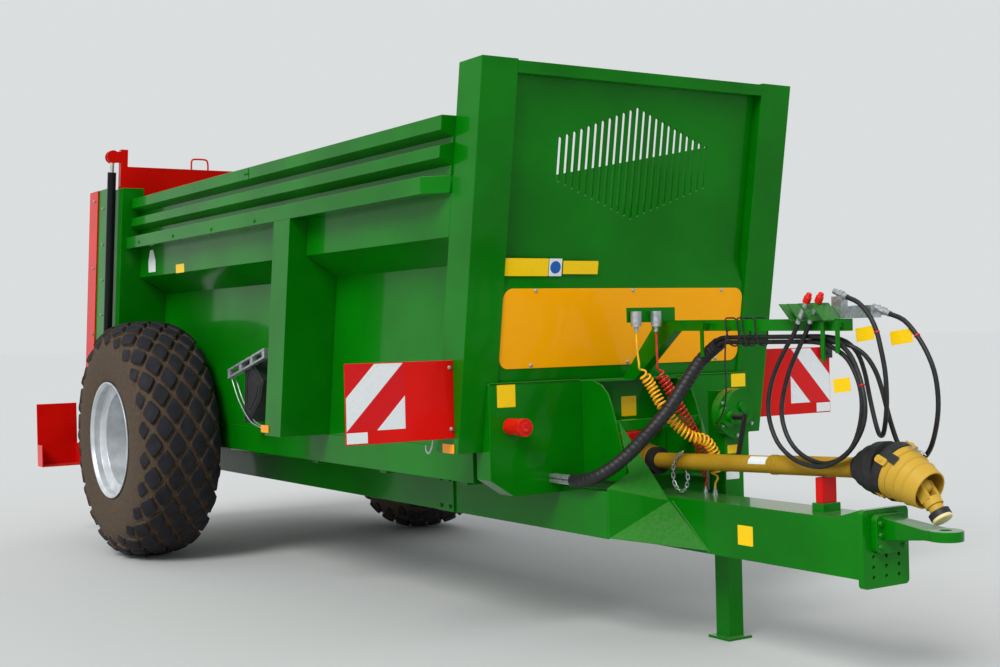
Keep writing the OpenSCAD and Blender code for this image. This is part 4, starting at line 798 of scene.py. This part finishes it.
def board_film(name, corners, thick, look):
    """One film, laid on both boards."""
    def build(bm, side):
        prism(bm, [(side * x, BOARD_Y - thick, z) for x, z in corners], (0, thick, 0))
    piece(name, both(build), look)


def dress_boards():
    """The hatching, the bolts, and the lamp on the left board's outer corner."""
    board_film("board_red_film", BOARD_FIELD, FIELD_THICK, "red_film")
    for i, corners in enumerate(BOARD_STRIPES):
        board_film("board_stripe_%d" % (i + 1), corners, STRIPE_THICK, "white_film")
    board_film("board_foot_film", BOARD_FOOT, FIELD_THICK, "white_film")

    def bolts(bm, side):
        for x, z in BOARD_BOLTS:
            bolt(bm, (side * x, BOARD_Y, z), AHEAD, SMALL_BOLT)
    piece("board_bolts", both(bolts), "bolt_zinc")

    def lamp(bm):
        (x0, x1), (z0, z1) = LAMP_BOX
        front_y = BOARD_Y - LAMP_BOX_DEPTH
        block(bm, (x0, front_y, z0), (x1, BOARD_Y, z1))
        turned(bm, (LAMP_EYE[0], front_y, LAMP_EYE[1]), AHEAD, LAMP_RIM)
    piece("board_lamp", lamp, "black_plastic", soft=0.004)


dress_boards()


# Blank labels. Each row ends with width, height and look
BOX_LABELS = [
    (-0.783, BOX_Y, 1.287, 0.112, 0.116, "yellow_film"),
    (0.818, BOX_Y, 1.309, 0.108, 0.076, "yellow_film"),
    (0.015, BOX_Y, 1.198, 0.102, 0.108, "yellow_film"),
    (0.216, -2.527, 0.985, 0.081, 0.043, "yellow_film"),
    (0.208, -2.527, 0.85, 0.089, 0.04, "white_film"),
]
WALL_LABELS = [
    (-0.707, 1.9475, 0.318, 0.092, "yellow_film"),
    (-0.503, 1.9475, 0.082, 0.092, "white_film"),
    (-0.34, 1.9475, 0.228, 0.07, "yellow_film"),
]
WALL_DOT = (-0.503, 1.9475)
DOT = [(0, 0.033), (0.0006, 0.033)]
SIDE_LABELS = [
    (-WALL_X, 2.01, 2.139, 0.168, 0.064, "yellow_film"),
    (-0.13, -2.976, 0.618, 0.104, 0.095, "yellow_film"),
]
WEIGHT_TAG = [(2.53, 2.14), (2.53, 2.23), (2.575, 2.31), (2.64, 2.31), (2.685, 2.23),
              (2.685, 2.14)]
DOT_LIFT = LABEL_THICK + 0.0001  # the dot lies on the white label


def lay_labels():
    """The labels, without print, and the white tags on the walls."""
    def label(name, place, across, up, width, height, look):
        piece(name, lambda bm: film(bm, place, across, up, width, height), look)

    for i, (x, y, z, *size, look) in enumerate(BOX_LABELS):
        label("face_label_%d" % (i + 1), (x, y, z), (1, 0, 0), UP, *size, look)
    for i, (x, z, *size, look) in enumerate(WALL_LABELS):
        place = on_front(x, z, -PLATE_DEPTH)
        label("wall_label_%d" % (i + 1), place, (1, 0, 0), UP_LEAN, *size, look)
    for i, (x, y, z, *size, look) in enumerate(SIDE_LABELS):
        label("side_label_%d" % (i + 1), (x, y, z), AHEAD, UP, *size, look)

    def dot(bm):
        turned(bm, on_front(*WALL_DOT, DOT_LIFT - PLATE_DEPTH), OUT_LEAN, DOT, 32)
    piece("wall_dot", dot, "blue_film")

    def tag(bm, side):
        outline = [(side * WALL_X, y, z) for y, z in WEIGHT_TAG]
        prism(bm, outline, (side * LABEL_THICK, 0, 0))
    piece("weight_tags", both(tag), "white_film")


lay_labels()


# Bolts and rivets
PLATE_BOLTS = [(x, z) for z in (1.827, 1.44) for x in (-0.62, 0.02, 0.655)]
STRIP_BOLTS = [(3.427, 2.751), (3.503, 2.213), (3.569, 1.676)]
SIDE_BOLTS = [(3.245, 2.677), (3.279, 2.393), (3.316, 2.108), (3.35, 1.829)]
RAIL_RIVETS = [(1.821, 2.363), (1.093, 2.358), (0.365, 2.358), (2.549, 2.368)]
GEAR_AXIS = (0.2, 1.172)
GEAR_FACE_Y = -2.578
GEAR_BOLTS = 6
GEAR_BOLT_R = 0.112
SCREW = [(0, 0.011), (0.0015, 0.011), (0.0025, 0.009), (0.005, 0.0075), (0.0065, 0.004)]
RIVET = [(0, 0.014), (0.003, 0.014), (0.008, 0.009), (0.009, 0.004)]


def add_bolts():
    """The plate's screws, the bolts of beater housing and gear case, the rails' rivets."""
    def plate(bm):
        for x, z in PLATE_BOLTS:
            turned(bm, on_front(x, z), OUT_LEAN, SCREW, 20)
    piece("plate_screws", plate, "bolt_zinc")

    def rear(bm, side):
        for y, z in STRIP_BOLTS:
            bolt(bm, (side * STRIP_X, y, z), (side, 0, 0), nut=True)
        for y, z in SIDE_BOLTS:
            bolt(bm, (side * HOUSING_X, y, z), (side, 0, 0))
    piece("housing_bolts", both(rear), "bolt_zinc")

    def rail(bm, side):
        for y, z in RAIL_RIVETS:
            turned(bm, (side * RAIL_X, y, z), (side, 0, 0), RIVET, 16)
    piece("rail_rivets", both(rail), "green_paint")

    def gear(bm):
        for i in range(GEAR_BOLTS):
            a = 2 * math.pi * (i + 0.5) / GEAR_BOLTS
            x, z = GEAR_AXIS[0] + GEAR_BOLT_R * math.cos(a), GEAR_AXIS[1] + GEAR_BOLT_R * math.sin(a)
            bolt(bm, (x, GEAR_FACE_Y, z), AHEAD, SMALL_BOLT)
    piece("gear_case_bolts", gear, "bolt_zinc")


add_bolts()


# Reflectors, hooks, brackets and the pipe along the chassis
REFLECTORS = [(MID_POST_X, 0.268, 1.0425), (WALL_X, -1.766, 1.0245)]
REFLECTOR_SIZE = 0.112, 0.048, 0.006, 0.007  # long, high, corner, thick
HOOK = [(1.044, -1.645, 1.11), (1.046, -1.625, 1.08), (1.046, -1.6, 1.02), (1.046, -1.57, 0.99),
        (1.046, -1.545, 1.0), (1.046, -1.54, 1.03)]
HOOK_R = 0.005
PIPE_X = -0.459
PIPE = [(2.52, 0.746), (0.761, 0.786), (0.283, 0.759), (-0.313, 0.763), (-1.024, 0.79),
        (-1.191, 0.79)]
PIPE_R = 0.008
CLIP_YS = (2.2, 1.5, 0.85, 0.1, -0.6)
CLIP_X = -0.4505
CLIP_Z = 0.772
CLIP = [(0, 0.016), (0.016, 0.016), (0.019, 0.012)]
BEAM_X = 0.45
BRACKET_X = BEAM_X + 0.012
BRACKET = (-0.841, 0.56), (-0.662, 0.779)
BRACKET_BOLT = 0.014
BRACKET_BOLTS = [(y, z) for z in (0.59, 0.75) for y in (-0.8, -0.7)]
STRAP_Y = 0.55  # a strap joins two lengths of extension board here
STRAP_X = EXTENSION_X + 0.003
STRAP_LOW_Z, STRAP_TOP_Z = 2.64, 2.71
STRAP_HALF = 0.03
STRAP_BOLT = 0.008


def dress_sides():
    """What hangs on the walls, the chassis beams and the extension boards."""
    def reflectors(bm, side):
        for x, y, z in REFLECTORS:
            film(bm, (side * x, y, z), (0, side, 0), UP, *REFLECTOR_SIZE)
    piece("side_reflectors", both(reflectors), "amber_lens", soft=0.002)

    def hook(bm, side):
        tube(bm, smooth([(side * x, y, z) for x, y, z in HOOK], 4), HOOK_R)
    piece("rope_hooks", both(hook), "galvanised_steel")

    def pipe(bm):
        tube(bm, smooth([(PIPE_X, y, z) for y, z in PIPE], 5), PIPE_R, 10)
        for y in CLIP_YS:
            turned(bm, (CLIP_X, y, CLIP_Z), (-1, 0, 0), CLIP, 12)
    piece("chassis_pipe", pipe, "galvanised_steel")

    def bracket(bm, side):
        block(bm, (side * BEAM_X, *BRACKET[0]), (side * BRACKET_X, *BRACKET[1]))
        for y, z in BRACKET_BOLTS:
            bolt(bm, (side * BRACKET_X, y, z), (side, 0, 0), BRACKET_BOLT)
    piece("chassis_brackets", both(bracket), "green_paint", soft=0.002)

    def strap(bm, side):
        block(bm, (side * EXTENSION_X, STRAP_Y - STRAP_HALF, STRAP_LOW_Z),
              (side * STRAP_X, STRAP_Y + STRAP_HALF, STRAP_TOP_Z))
        for y in (STRAP_Y - 0.6 * STRAP_HALF, STRAP_Y + 0.6 * STRAP_HALF):
            middle = (side * STRAP_X, y, (STRAP_LOW_Z + STRAP_TOP_Z) / 2)
            bolt(bm, middle, (side, 0, 0), STRAP_BOLT)
    piece("extension_seams", both(strap), "green_paint")


dress_sides()


# Chocks of black plastic, each hung from a galvanised rail with a slot
CHOCK = [(0.71, 1.33), (0.77, 1.2), (0.95, 1.06), (1.04, 1.04), (1.04, 1.11), (1.01, 1.42),
         (0.95, 1.5)]
CHOCK_MIDDLE = Vector((0.92, 1.25))
CHOCK_RIBS = (0.86, 0.58)  # their size, as shares of the chock's outline
CHOCK_RIB_R = 0.006
CHOCK_X = 0.972
HOLDER_X = 0.984
HOLDER_BACK = (1.245, 1.394)
HOLDER_FRONT = (0.625, 1.541)
HOLDER_WIDE = 0.04
FLANGE_H = 0.014
SLOT_H = 0.052  # between the middles of the rail's two flanges
WEBS = (0.03, 0.35, 0.65, 0.97)  # along the rail, from its back end
WEB_LONG = 0.034
WEB_OVERLAP = 0.004  # how far a web runs into the flanges
ARMS = (0.12, 0.8)
ARM_WIDE, ARM_H = 0.05, 0.008
STIRRUP = [(1.23, 1.36), (1.1, 1.19), (0.92, 1.06), (0.74, 1.02)]
STIRRUP_WIDE = 0.03
STIRRUP_R = 0.005


def hold_chocks():
    """The chocks with their ribs, and the holders with their arms and stirrups."""
    def chock(bm, side):
        x0, x1 = side * (LOWER_X + 0.001), side * CHOCK_X
        prism(bm, [(x0, y, z) for y, z in CHOCK], (x1 - x0, 0, 0))
        for share in CHOCK_RIBS:
            rib = [CHOCK_MIDDLE + share * (Vector(p) - CHOCK_MIDDLE) for p in CHOCK]
            tube(bm, [(x1, y, z) for y, z in rib], CHOCK_RIB_R, 6, closed=True)
    chocks = piece("plastic_chocks", both(chock), "black_plastic", soft=0.006)
    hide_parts("wheel_chocks")

    def holder(bm, side):
        x = side * HOLDER_X
        back, front = Vector((x, *HOLDER_BACK)), Vector((x, *HOLDER_FRONT))
        for drop in (0.0, SLOT_H):
            low = Vector((0, 0, -drop))
            bar(bm, back + low, front + low, HOLDER_WIDE, FLANGE_H)
        for t in WEBS:
            spot = back.lerp(front, t)
            top = spot + Vector((0, 0, WEB_OVERLAP))
            foot = spot - Vector((0, 0, SLOT_H + WEB_OVERLAP))
            bar(bm, top, foot, HOLDER_WIDE, WEB_LONG, up=(1, 0, 0))
        for t in ARMS:
            spot = back.lerp(front, t)
            bar(bm, (side * LOWER_X, spot.y, spot.z), spot, ARM_WIDE, ARM_H)
        line = smooth([(x, y, z) for y, z in STIRRUP], 6)
        for inward in (0.0, STIRRUP_WIDE):
            tube(bm, [p - Vector((side * inward, 0, 0)) for p in line], STIRRUP_R)
    piece("chock_holders", both(holder), "galvanised_steel", soft=0.0015)


hold_chocks()


# Tyres: a carcass with diamond lugs over the crown and the shoulders. The wall is drawn
# from the crown outwards, as distance from the tyre's middle and radius. A lug's levels,
# from its foot to its top, are its share of the full outline and its height
TYRE_WALL = [(0.0, 0.853), (0.06, 0.852), (0.12, 0.846), (0.175, 0.834), (0.22, 0.814),
             (0.252, 0.786), (0.274, 0.75), (0.288, 0.705), (0.295, 0.65), (0.297, 0.59),
             (0.295, 0.53), (0.291, 0.48), (0.2835, 0.445), (0.27, 0.422)]
LUG_ROUND = 22  # lugs round each row
LUG_APART = 0.078  # rows of lugs
LUG_ROWS = 4  # on each side of the middle row
LUG_LEVELS = [(0.86, -0.006), (0.82, 0.012), (0.775, 0.022), (0.72, 0.0265), (0.4, 0.027)]
LUG_TOP = 0.02  # above this a lug is wiped clean of soil
SHOULDER_SIZE = 0.8  # the last row's lugs are smaller and lower
SHOULDER_HIGH = 0.55
DISC_X = 1.164
NUT_COUNT = 10
NUT_R = 0.1675
WHEEL_NUT = 0.02
VALVE_AT = (-0.088, -0.2)  # ahead of the axle and below it
VALVE = [(0, 0.011), (0.006, 0.011), (0.007, 0.006), (0.045, 0.006), (0.047, 0.0075),
         (0.06, 0.0075), (0.062, 0.005)]


def wall_point(s):
    """Place and outward direction on the tyre's outline, s along it from the crown."""
    side, run = (1 if s >= 0 else -1), abs(s)
    for (x0, r0), (x1, r1) in zip(TYRE_WALL, TYRE_WALL[1:]):
        step = math.hypot(x1 - x0, r1 - r0)
        if run <= step:
            t = run / step
            return (side * (x0 + t * (x1 - x0)), r0 + t * (r1 - r0),
                    side * (r0 - r1) / step, (x1 - x0) / step)
        run -= step
    return side * TYRE_WALL[-1][0], TYRE_WALL[-1][1], side, 0.0


def diamond():
    """A diamond's outline with its corners taken off, one unit from middle to corner."""
    shape = []
    for i in range(4):
        a, b = math.pi / 2 * i, math.pi / 2 * (i + 1)
        for t in (0.12, 0.37, 0.63, 0.88):  # along a flank, clear of its two corners
            shape.append((math.cos(a) * (1 - t) + math.cos(b) * t,
                          math.sin(a) * (1 - t) + math.sin(b) * t))
    return shape


def build_tyre(bm, middle_x):
    """The carcass and its lugs; the "proud" layer marks what the lugs lift out of the soil."""
    proud = bm.verts.layers.float.new("proud")
    shape = diamond()
    half_turn = math.pi / LUG_ROUND

    def place(s, angle, high):
        x, r, out_x, out_r = wall_point(s)
        r += high * out_r
        return Vector((middle_x + x + high * out_x, AXLE[0] + r * math.sin(angle),
                       AXLE[1] + r * math.cos(angle)))

    def lug(row, angle, size, tall):
        """A lug: rings on the tyre's outline, smaller from its foot to its top."""
        rings = [
            [place(LUG_APART * (row + size * scale * u), angle + size * scale * half_turn * v,
                   tall * high) for u, v in shape]
            for scale, high in LUG_LEVELS
        ]
        first = len(bm.verts)
        skin(bm, rings)
        bm.verts.ensure_lookup_table()
        for level, (_, high) in enumerate(LUG_LEVELS):
            for k in range(len(shape)):
                bm.verts[first + level * len(shape) + k][proud] = float(high > LUG_TOP)

    outline = TYRE_WALL[::-1] + [(-x, r) for x, r in TYRE_WALL[1:]]
    hoop(bm, (middle_x, *AXLE), (1, 0, 0), outline, 144)
    for row in range(-LUG_ROWS, LUG_ROWS + 1):
        size, tall = (SHOULDER_SIZE, SHOULDER_HIGH) if abs(row) == LUG_ROWS else (1.0, 1.0)
        for n in range(LUG_ROUND):
            lug(row, 2 * half_turn * (n + 0.5 * (row % 2)), size, tall)


def dress_tyres():
    """Each tyre, and the nuts and the valve of its rim."""
    for side, name in ((1, "left"), (-1, "right")):
        tyre = piece("lugged_tyre_" + name, lambda bm: build_tyre(bm, side * TYRE_X), "tyre",
                     body="wheel_" + name)
        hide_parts("tyre_" + name)

        def nuts(bm):
            for i in range(NUT_COUNT):
                a = 2 * math.pi * i / NUT_COUNT
                spot = (side * DISC_X, AXLE[0] + NUT_R * math.sin(a), AXLE[1] + NUT_R * math.cos(a))
                bolt(bm, spot, (side, 0, 0), WHEEL_NUT, nut=True)
            foot = (side * (DISC_X - 0.006), AXLE[0] + VALVE_AT[0], AXLE[1] + VALVE_AT[1])
            turned(bm, foot, (side, 0, 0), VALVE, 12)
        piece("wheel_nuts_" + name, nuts, "bolt_zinc", body="wheel_" + name)


dress_tyres()


# Drive shaft: chain, label, rings and tabs on the guards
def dipping(angle):
    """The direction ahead, dipped by an angle."""
    return Vector((0, -math.cos(angle), -math.sin(angle)))


SHAFT_BACK = Vector((0, -2.11, 0.916))
SHAFT_RISE = math.radians(2.25)
SHAFT_AHEAD = dipping(-SHAFT_RISE)
SHAFT_UP = Vector((0, math.sin(SHAFT_RISE), math.cos(SHAFT_RISE)))
GUARD_R = 0.046
GUARD_RINGS = [(d, GUARD_R) for d in (0.936, 0.956, 1.45)]  # ahead of the back end, radius
GUARD_RING = [(-0.005, -0.003), (-0.005, 0.002), (0.005, 0.002), (0.005, -0.003)]
LABEL_ENDS = (0.80, 0.92)
LABEL_R = 0.0415, 0.0428
LABEL_ARC = 5, 65  # degrees up from the right-hand side
LABEL_FACETS = 8
GUARD_CHAIN = [(-0.05, -2.439, 0.985), (-0.052, -2.39, 0.95), (-0.052, -2.364, 0.9),
               (-0.052, -2.367, 0.82), (-0.052, -2.413, 0.781), (-0.052, -2.456, 0.792),
               (-0.052, -2.478, 0.852), (-0.052, -2.462, 0.884)]
JOINT = Vector((0, -3.79, 0.982))
CONE_DIP = math.radians(23)
CONE_AHEAD = dipping(CONE_DIP)
CONE_UP = Vector((0, -math.sin(CONE_DIP), math.cos(CONE_DIP)))
CONE_RINGS = [(0.05, 0.1175), (0.095, 0.1095), (0.14, 0.101)]  # ahead of the joint, radius
CONE_RING = [(-0.004, -0.004), (-0.004, 0), (0, 0.003), (0.004, 0), (0.004, -0.004)]
CONE_CHAIN_SIZE = 0.016, 0.011, 0.003  # pitch, width and wire
CONE_CHAIN = [(0.004, -3.87, 1.085), (0.0, -3.9, 1.078), (-0.002, -3.93, 1.068),
              (0.0, -3.96, 1.052)]
TAB_TURNS = [math.radians(a) for a in (-25, 65, 155, 245)]
TAB_R = 0.121
TAB_AHEAD = 0.004
TAB_THICK = 0.012
TAB_SIZE = 0.034, 0.06, 0.012  # wide, long, corner
TAB_RIVET = [(0, 0.009), (0.003, 0.009), (0.004, 0.006)]
YOKE_AHEAD = dipping(math.radians(52))
SECOND_JOINT = JOINT + 0.165 * CONE_AHEAD
YOKE_LONG = 0.1545
YOKE_CAP = [(0, 0.044), (0.011, 0.044), (0.0142, 0.041), (0.0142, 0.03)]


def dress_shaft():
    """The guard's chains, rings, label and tabs, and the cap on the yoke's end."""
    piece("guard_chain", lambda bm: chain(bm, smooth(GUARD_CHAIN, 4)), "bolt_zinc")

    def rings(name, places, start, ahead, outline, sides):
        """Moulded rings of one outline, drawn about each one's radius."""
        def build(bm):
            for d, r in places:
                hoop(bm, start + d * ahead, ahead, [(a, r + b) for a, b in outline], sides)
        piece(name, build, "yellow_plastic")

    rings("cone_rings", CONE_RINGS, JOINT, CONE_AHEAD, CONE_RING, 48)
    rings("guard_rings", GUARD_RINGS, SHAFT_BACK, SHAFT_AHEAD, GUARD_RING, 36)

    def label(bm):
        low, high = LABEL_ARC
        rays = []
        for i in range(LABEL_FACETS + 1):
            a = math.radians(low + (high - low) * i / LABEL_FACETS)
            rays.append(Vector((-math.cos(a), 0, 0)) + math.sin(a) * SHAFT_UP)
        ends = []
        for d in LABEL_ENDS:
            middle = SHAFT_BACK + d * SHAFT_AHEAD
            inner, outer = ([middle + r * ray for ray in rays] for r in LABEL_R)
            ends.append(outer + inner[::-1])
        skin(bm, ends)
    piece("shaft_label", label, "white_film")

    def cone_chain(bm):
        chain(bm, smooth(CONE_CHAIN, 4), *CONE_CHAIN_SIZE)
    piece("cone_chain", cone_chain, "bolt_zinc")

    def tabs(bm):
        for turn in TAB_TURNS:
            out = math.cos(turn) * CONE_UP - math.sin(turn) * Vector((1, 0, 0))
            side = CONE_AHEAD.cross(out)
            middle = JOINT + TAB_AHEAD * CONE_AHEAD + TAB_R * out
            outline = [middle + a * side + b * CONE_AHEAD for a, b in rounded(*TAB_SIZE)]
            prism(bm, outline, out * TAB_THICK)
            turned(bm, middle + TAB_THICK * out, out, TAB_RIVET, 16)
    piece("cone_tabs", tabs, "yellow_plastic", soft=0.002)

    tip = SECOND_JOINT + YOKE_LONG * YOKE_AHEAD
    piece("yoke_end", lambda bm: turned(bm, tip, YOKE_AHEAD, YOKE_CAP, 36), "cream_plastic")


dress_shaft()


# Hose rack: caps on the raised couplings, tags with place and width, and ties with place
# and direction
CAP_LEAN = Vector((0, -0.5, 0.866))
CAP_REACH = 0.108  # from where a hose leaves its coupling
CAP = [(0, 0.015), (0.002, 0.018), (0.03, 0.018), (0.034, 0.014), (0.046, 0.013), (0.05, 0.009)]
RACK_Z = 1.632  # the middle of the rack's bar at its back end, from where it falls forward
RACK_BACK_Y = -2.185
RACK_SLOPE = 0.0133
TIE_YS = (-2.776, -2.86, -2.897, -2.981)
TIE_R = 0.004
TAGS = [((0.04, -3.599, 1.571), 0.106), ((0.1, -3.755, 1.555), 0.124),
        ((-0.063, -3.552, 1.345), 0.1)]
TAG_ALONG, TAG_UP = (0, -1, 0.12), (0, 0.12, 1)
TAG_SIZE = 0.062, 0.004, 0.0012  # high, corner, thick
TAG_TIES = [((0.04, -3.669, 1.578), (0, -0.35, -0.94)), ((0.1, -3.842, 1.56), (0, -0.6, -0.8)),
            ((-0.066, -3.672, 1.347), (0, 0.35, 0.94))]
TAG_TIE = [(-0.003, 0.0112), (-0.003, 0.0135), (0.003, 0.0135), (0.003, 0.0112)]


def dress_rack():
    """The couplings' caps, the ties round rack and hoses, and the hoses' tags."""
    def caps(bm):
        for exit_place in (ROUTE_A[0], ROUTE_B[0]):
            turned(bm, Vector(exit_place) + CAP_REACH * CAP_LEAN, CAP_LEAN, CAP, 20)
    piece("coupling_caps", caps, "red_plastic")

    def loops(bm):
        for y in TIE_YS:
            # From its right foot over the rack's bar, and down the left of the hoses
            bar_z = RACK_Z + (y - RACK_BACK_Y) * RACK_SLOPE
            outline = [(-0.034, y - 0.02, 1.53), (-0.04, y, 1.6), (-0.034, y + 0.012, bar_z + 0.03),
                       (0, y + 0.016, bar_z + 0.036), (0.034, y + 0.012, bar_z + 0.03),
                       (0.04, y, 1.6), (0.02, y - 0.015, 1.53), (-0.01, y - 0.02, 1.522)]
            tube(bm, smooth(outline + outline[:1], 3)[:-1], TIE_R, closed=True)
    piece("hose_ties", loops, "black_plastic")

    def tags(bm):
        for place, across in TAGS:
            film(bm, place, TAG_ALONG, TAG_UP, across, *TAG_SIZE)
    piece("hose_tags", tags, "yellow_film")

    def ties(bm):
        for place, ahead in TAG_TIES:
            hoop(bm, place, ahead, TAG_TIE, 20)
    piece("tag_ties", ties, "red_plastic")


dress_rack()


# Weld seams where the folded plates meet, from end to end, with the bead's radius
BOX_FACE_Y = BOX_Y - 0.001
SEAMS = [
    ((0.292, BOX_FACE_Y, 0.81), (0.292, BOX_FACE_Y, 1.34), 0.004),
    ((0.31, BOX_FACE_Y, 1.353), (0.885, BOX_FACE_Y, 1.353), 0.004),
    ((0.131, -2.445, 0.737), (0.131, -2.722, 0.507), 0.006),
]


def lay_seams():
    """The beads on the box's face and on the drawbar's flares."""
    def seams(bm, side):
        for *ends, radius in SEAMS:
            weld(bm, [(side * x, y, z) for x, y, z in ends], radius)
    piece("weld_seams", both(seams), "green_paint")


lay_seams()


# The red catch in the tunnel, behind the shaft
CATCH = (-0.08, -1.985, 0.99), (0.06, -1.921, 1.062)
CATCH_PIN = (-0.09, -1.96, 1.05), (0.07, -1.96, 1.05)
CATCH_PIN_R = 0.012


def dress_tunnel():
    """The catch's body with its cross pin."""
    def catch(bm):
        block(bm, *CATCH)
        tube(bm, CATCH_PIN, CATCH_PIN_R, 12)
    piece("tunnel_catch", catch, "red_plastic", soft=0.004)


dress_tunnel()


# Door: a handle of bent bar on its top edge
HANDLE = [(-0.606, 2.862, 2.965), (-0.606, 2.86, 3.02), (-0.6, 2.858, 3.05),
          (-0.575, 2.857, 3.059), (-0.5, 2.857, 3.059), (-0.475, 2.858, 3.05),
          (-0.467, 2.86, 3.02), (-0.467, 2.862, 2.965)]
HANDLE_R = 0.007


def dress_door():
    """The handle rides with the door."""
    piece("door_handle", lambda bm: tube(bm, smooth(HANDLE, 4), HANDLE_R, 10), "red_paint",
          body="door")


dress_door()


# Stage: a floor that runs into the backdrop, a plain sky and one soft sun
FLOOR_HALF = 400
FLOOR_COLOUR = "#b9bab8"
SKY_COLOUR = "#f4f7fb"
BACKDROP_COLOUR = "#dbdede"  # as the far floor looks under this light
SUN_STRENGTH = 2.3
SUN_SPREAD = math.radians(25)
SUN_TURN = math.radians(48), 0, math.radians(-62)


def lay_floor():
    """One wide plain face under the wheels."""
    mesh = bpy.data.meshes.new("floor_stage")
    corners = [(FLOOR_HALF * i, FLOOR_HALF * k, 0) for i, k in ((-1, -1), (1, -1), (1, 1), (-1, 1))]
    mesh.from_pydata(corners, [], [(0, 1, 2, 3)])
    floor = bpy.data.objects.new("floor_stage", mesh)
    bpy.context.scene.collection.objects.link(floor)
    material, _, _ = finish("pale_floor", Roughness=0.9, Base_Color=linear(FLOOR_COLOUR))
    mesh.materials.append(material)


def light_stage():
    """A sky that lights the object, a backdrop that camera, mirrors and glass see, and a sun."""
    world = bpy.data.worlds.new("studio")
    bpy.context.scene.world = world
    world.use_nodes = True
    tree = world.node_tree
    sky = tree.nodes["Background"]
    sky.inputs["Strength"].default_value = 1.0
    sky.inputs["Color"].default_value = linear(SKY_COLOUR)
    backdrop = add(tree, "Background", {"Color": BACKDROP_COLOUR, "Strength": 1.0})
    shown = add(tree, "LightPath", out="Is Camera Ray")
    for ray in ("Is Glossy Ray", "Is Transmission Ray"):
        also = add(tree, "LightPath", out=ray)
        shown = add(tree, "Math", {0: shown, 1: also}, operation="MAXIMUM")
    surface = add(tree, "MixShader", {0: shown, 1: sky.outputs[0], 2: backdrop})
    tree.links.new(surface, tree.nodes["World Output"].inputs["Surface"])
    sun = bpy.data.lights.new("soft_sun", "SUN")
    sun.energy = SUN_STRENGTH
    sun.angle = SUN_SPREAD
    lamp = bpy.data.objects.new("soft_sun", sun)
    bpy.context.scene.collection.objects.link(lamp)
    lamp.rotation_euler = SUN_TURN


lay_floor()
light_stage()
bpy.context.scene.view_settings.view_transform = "Standard"
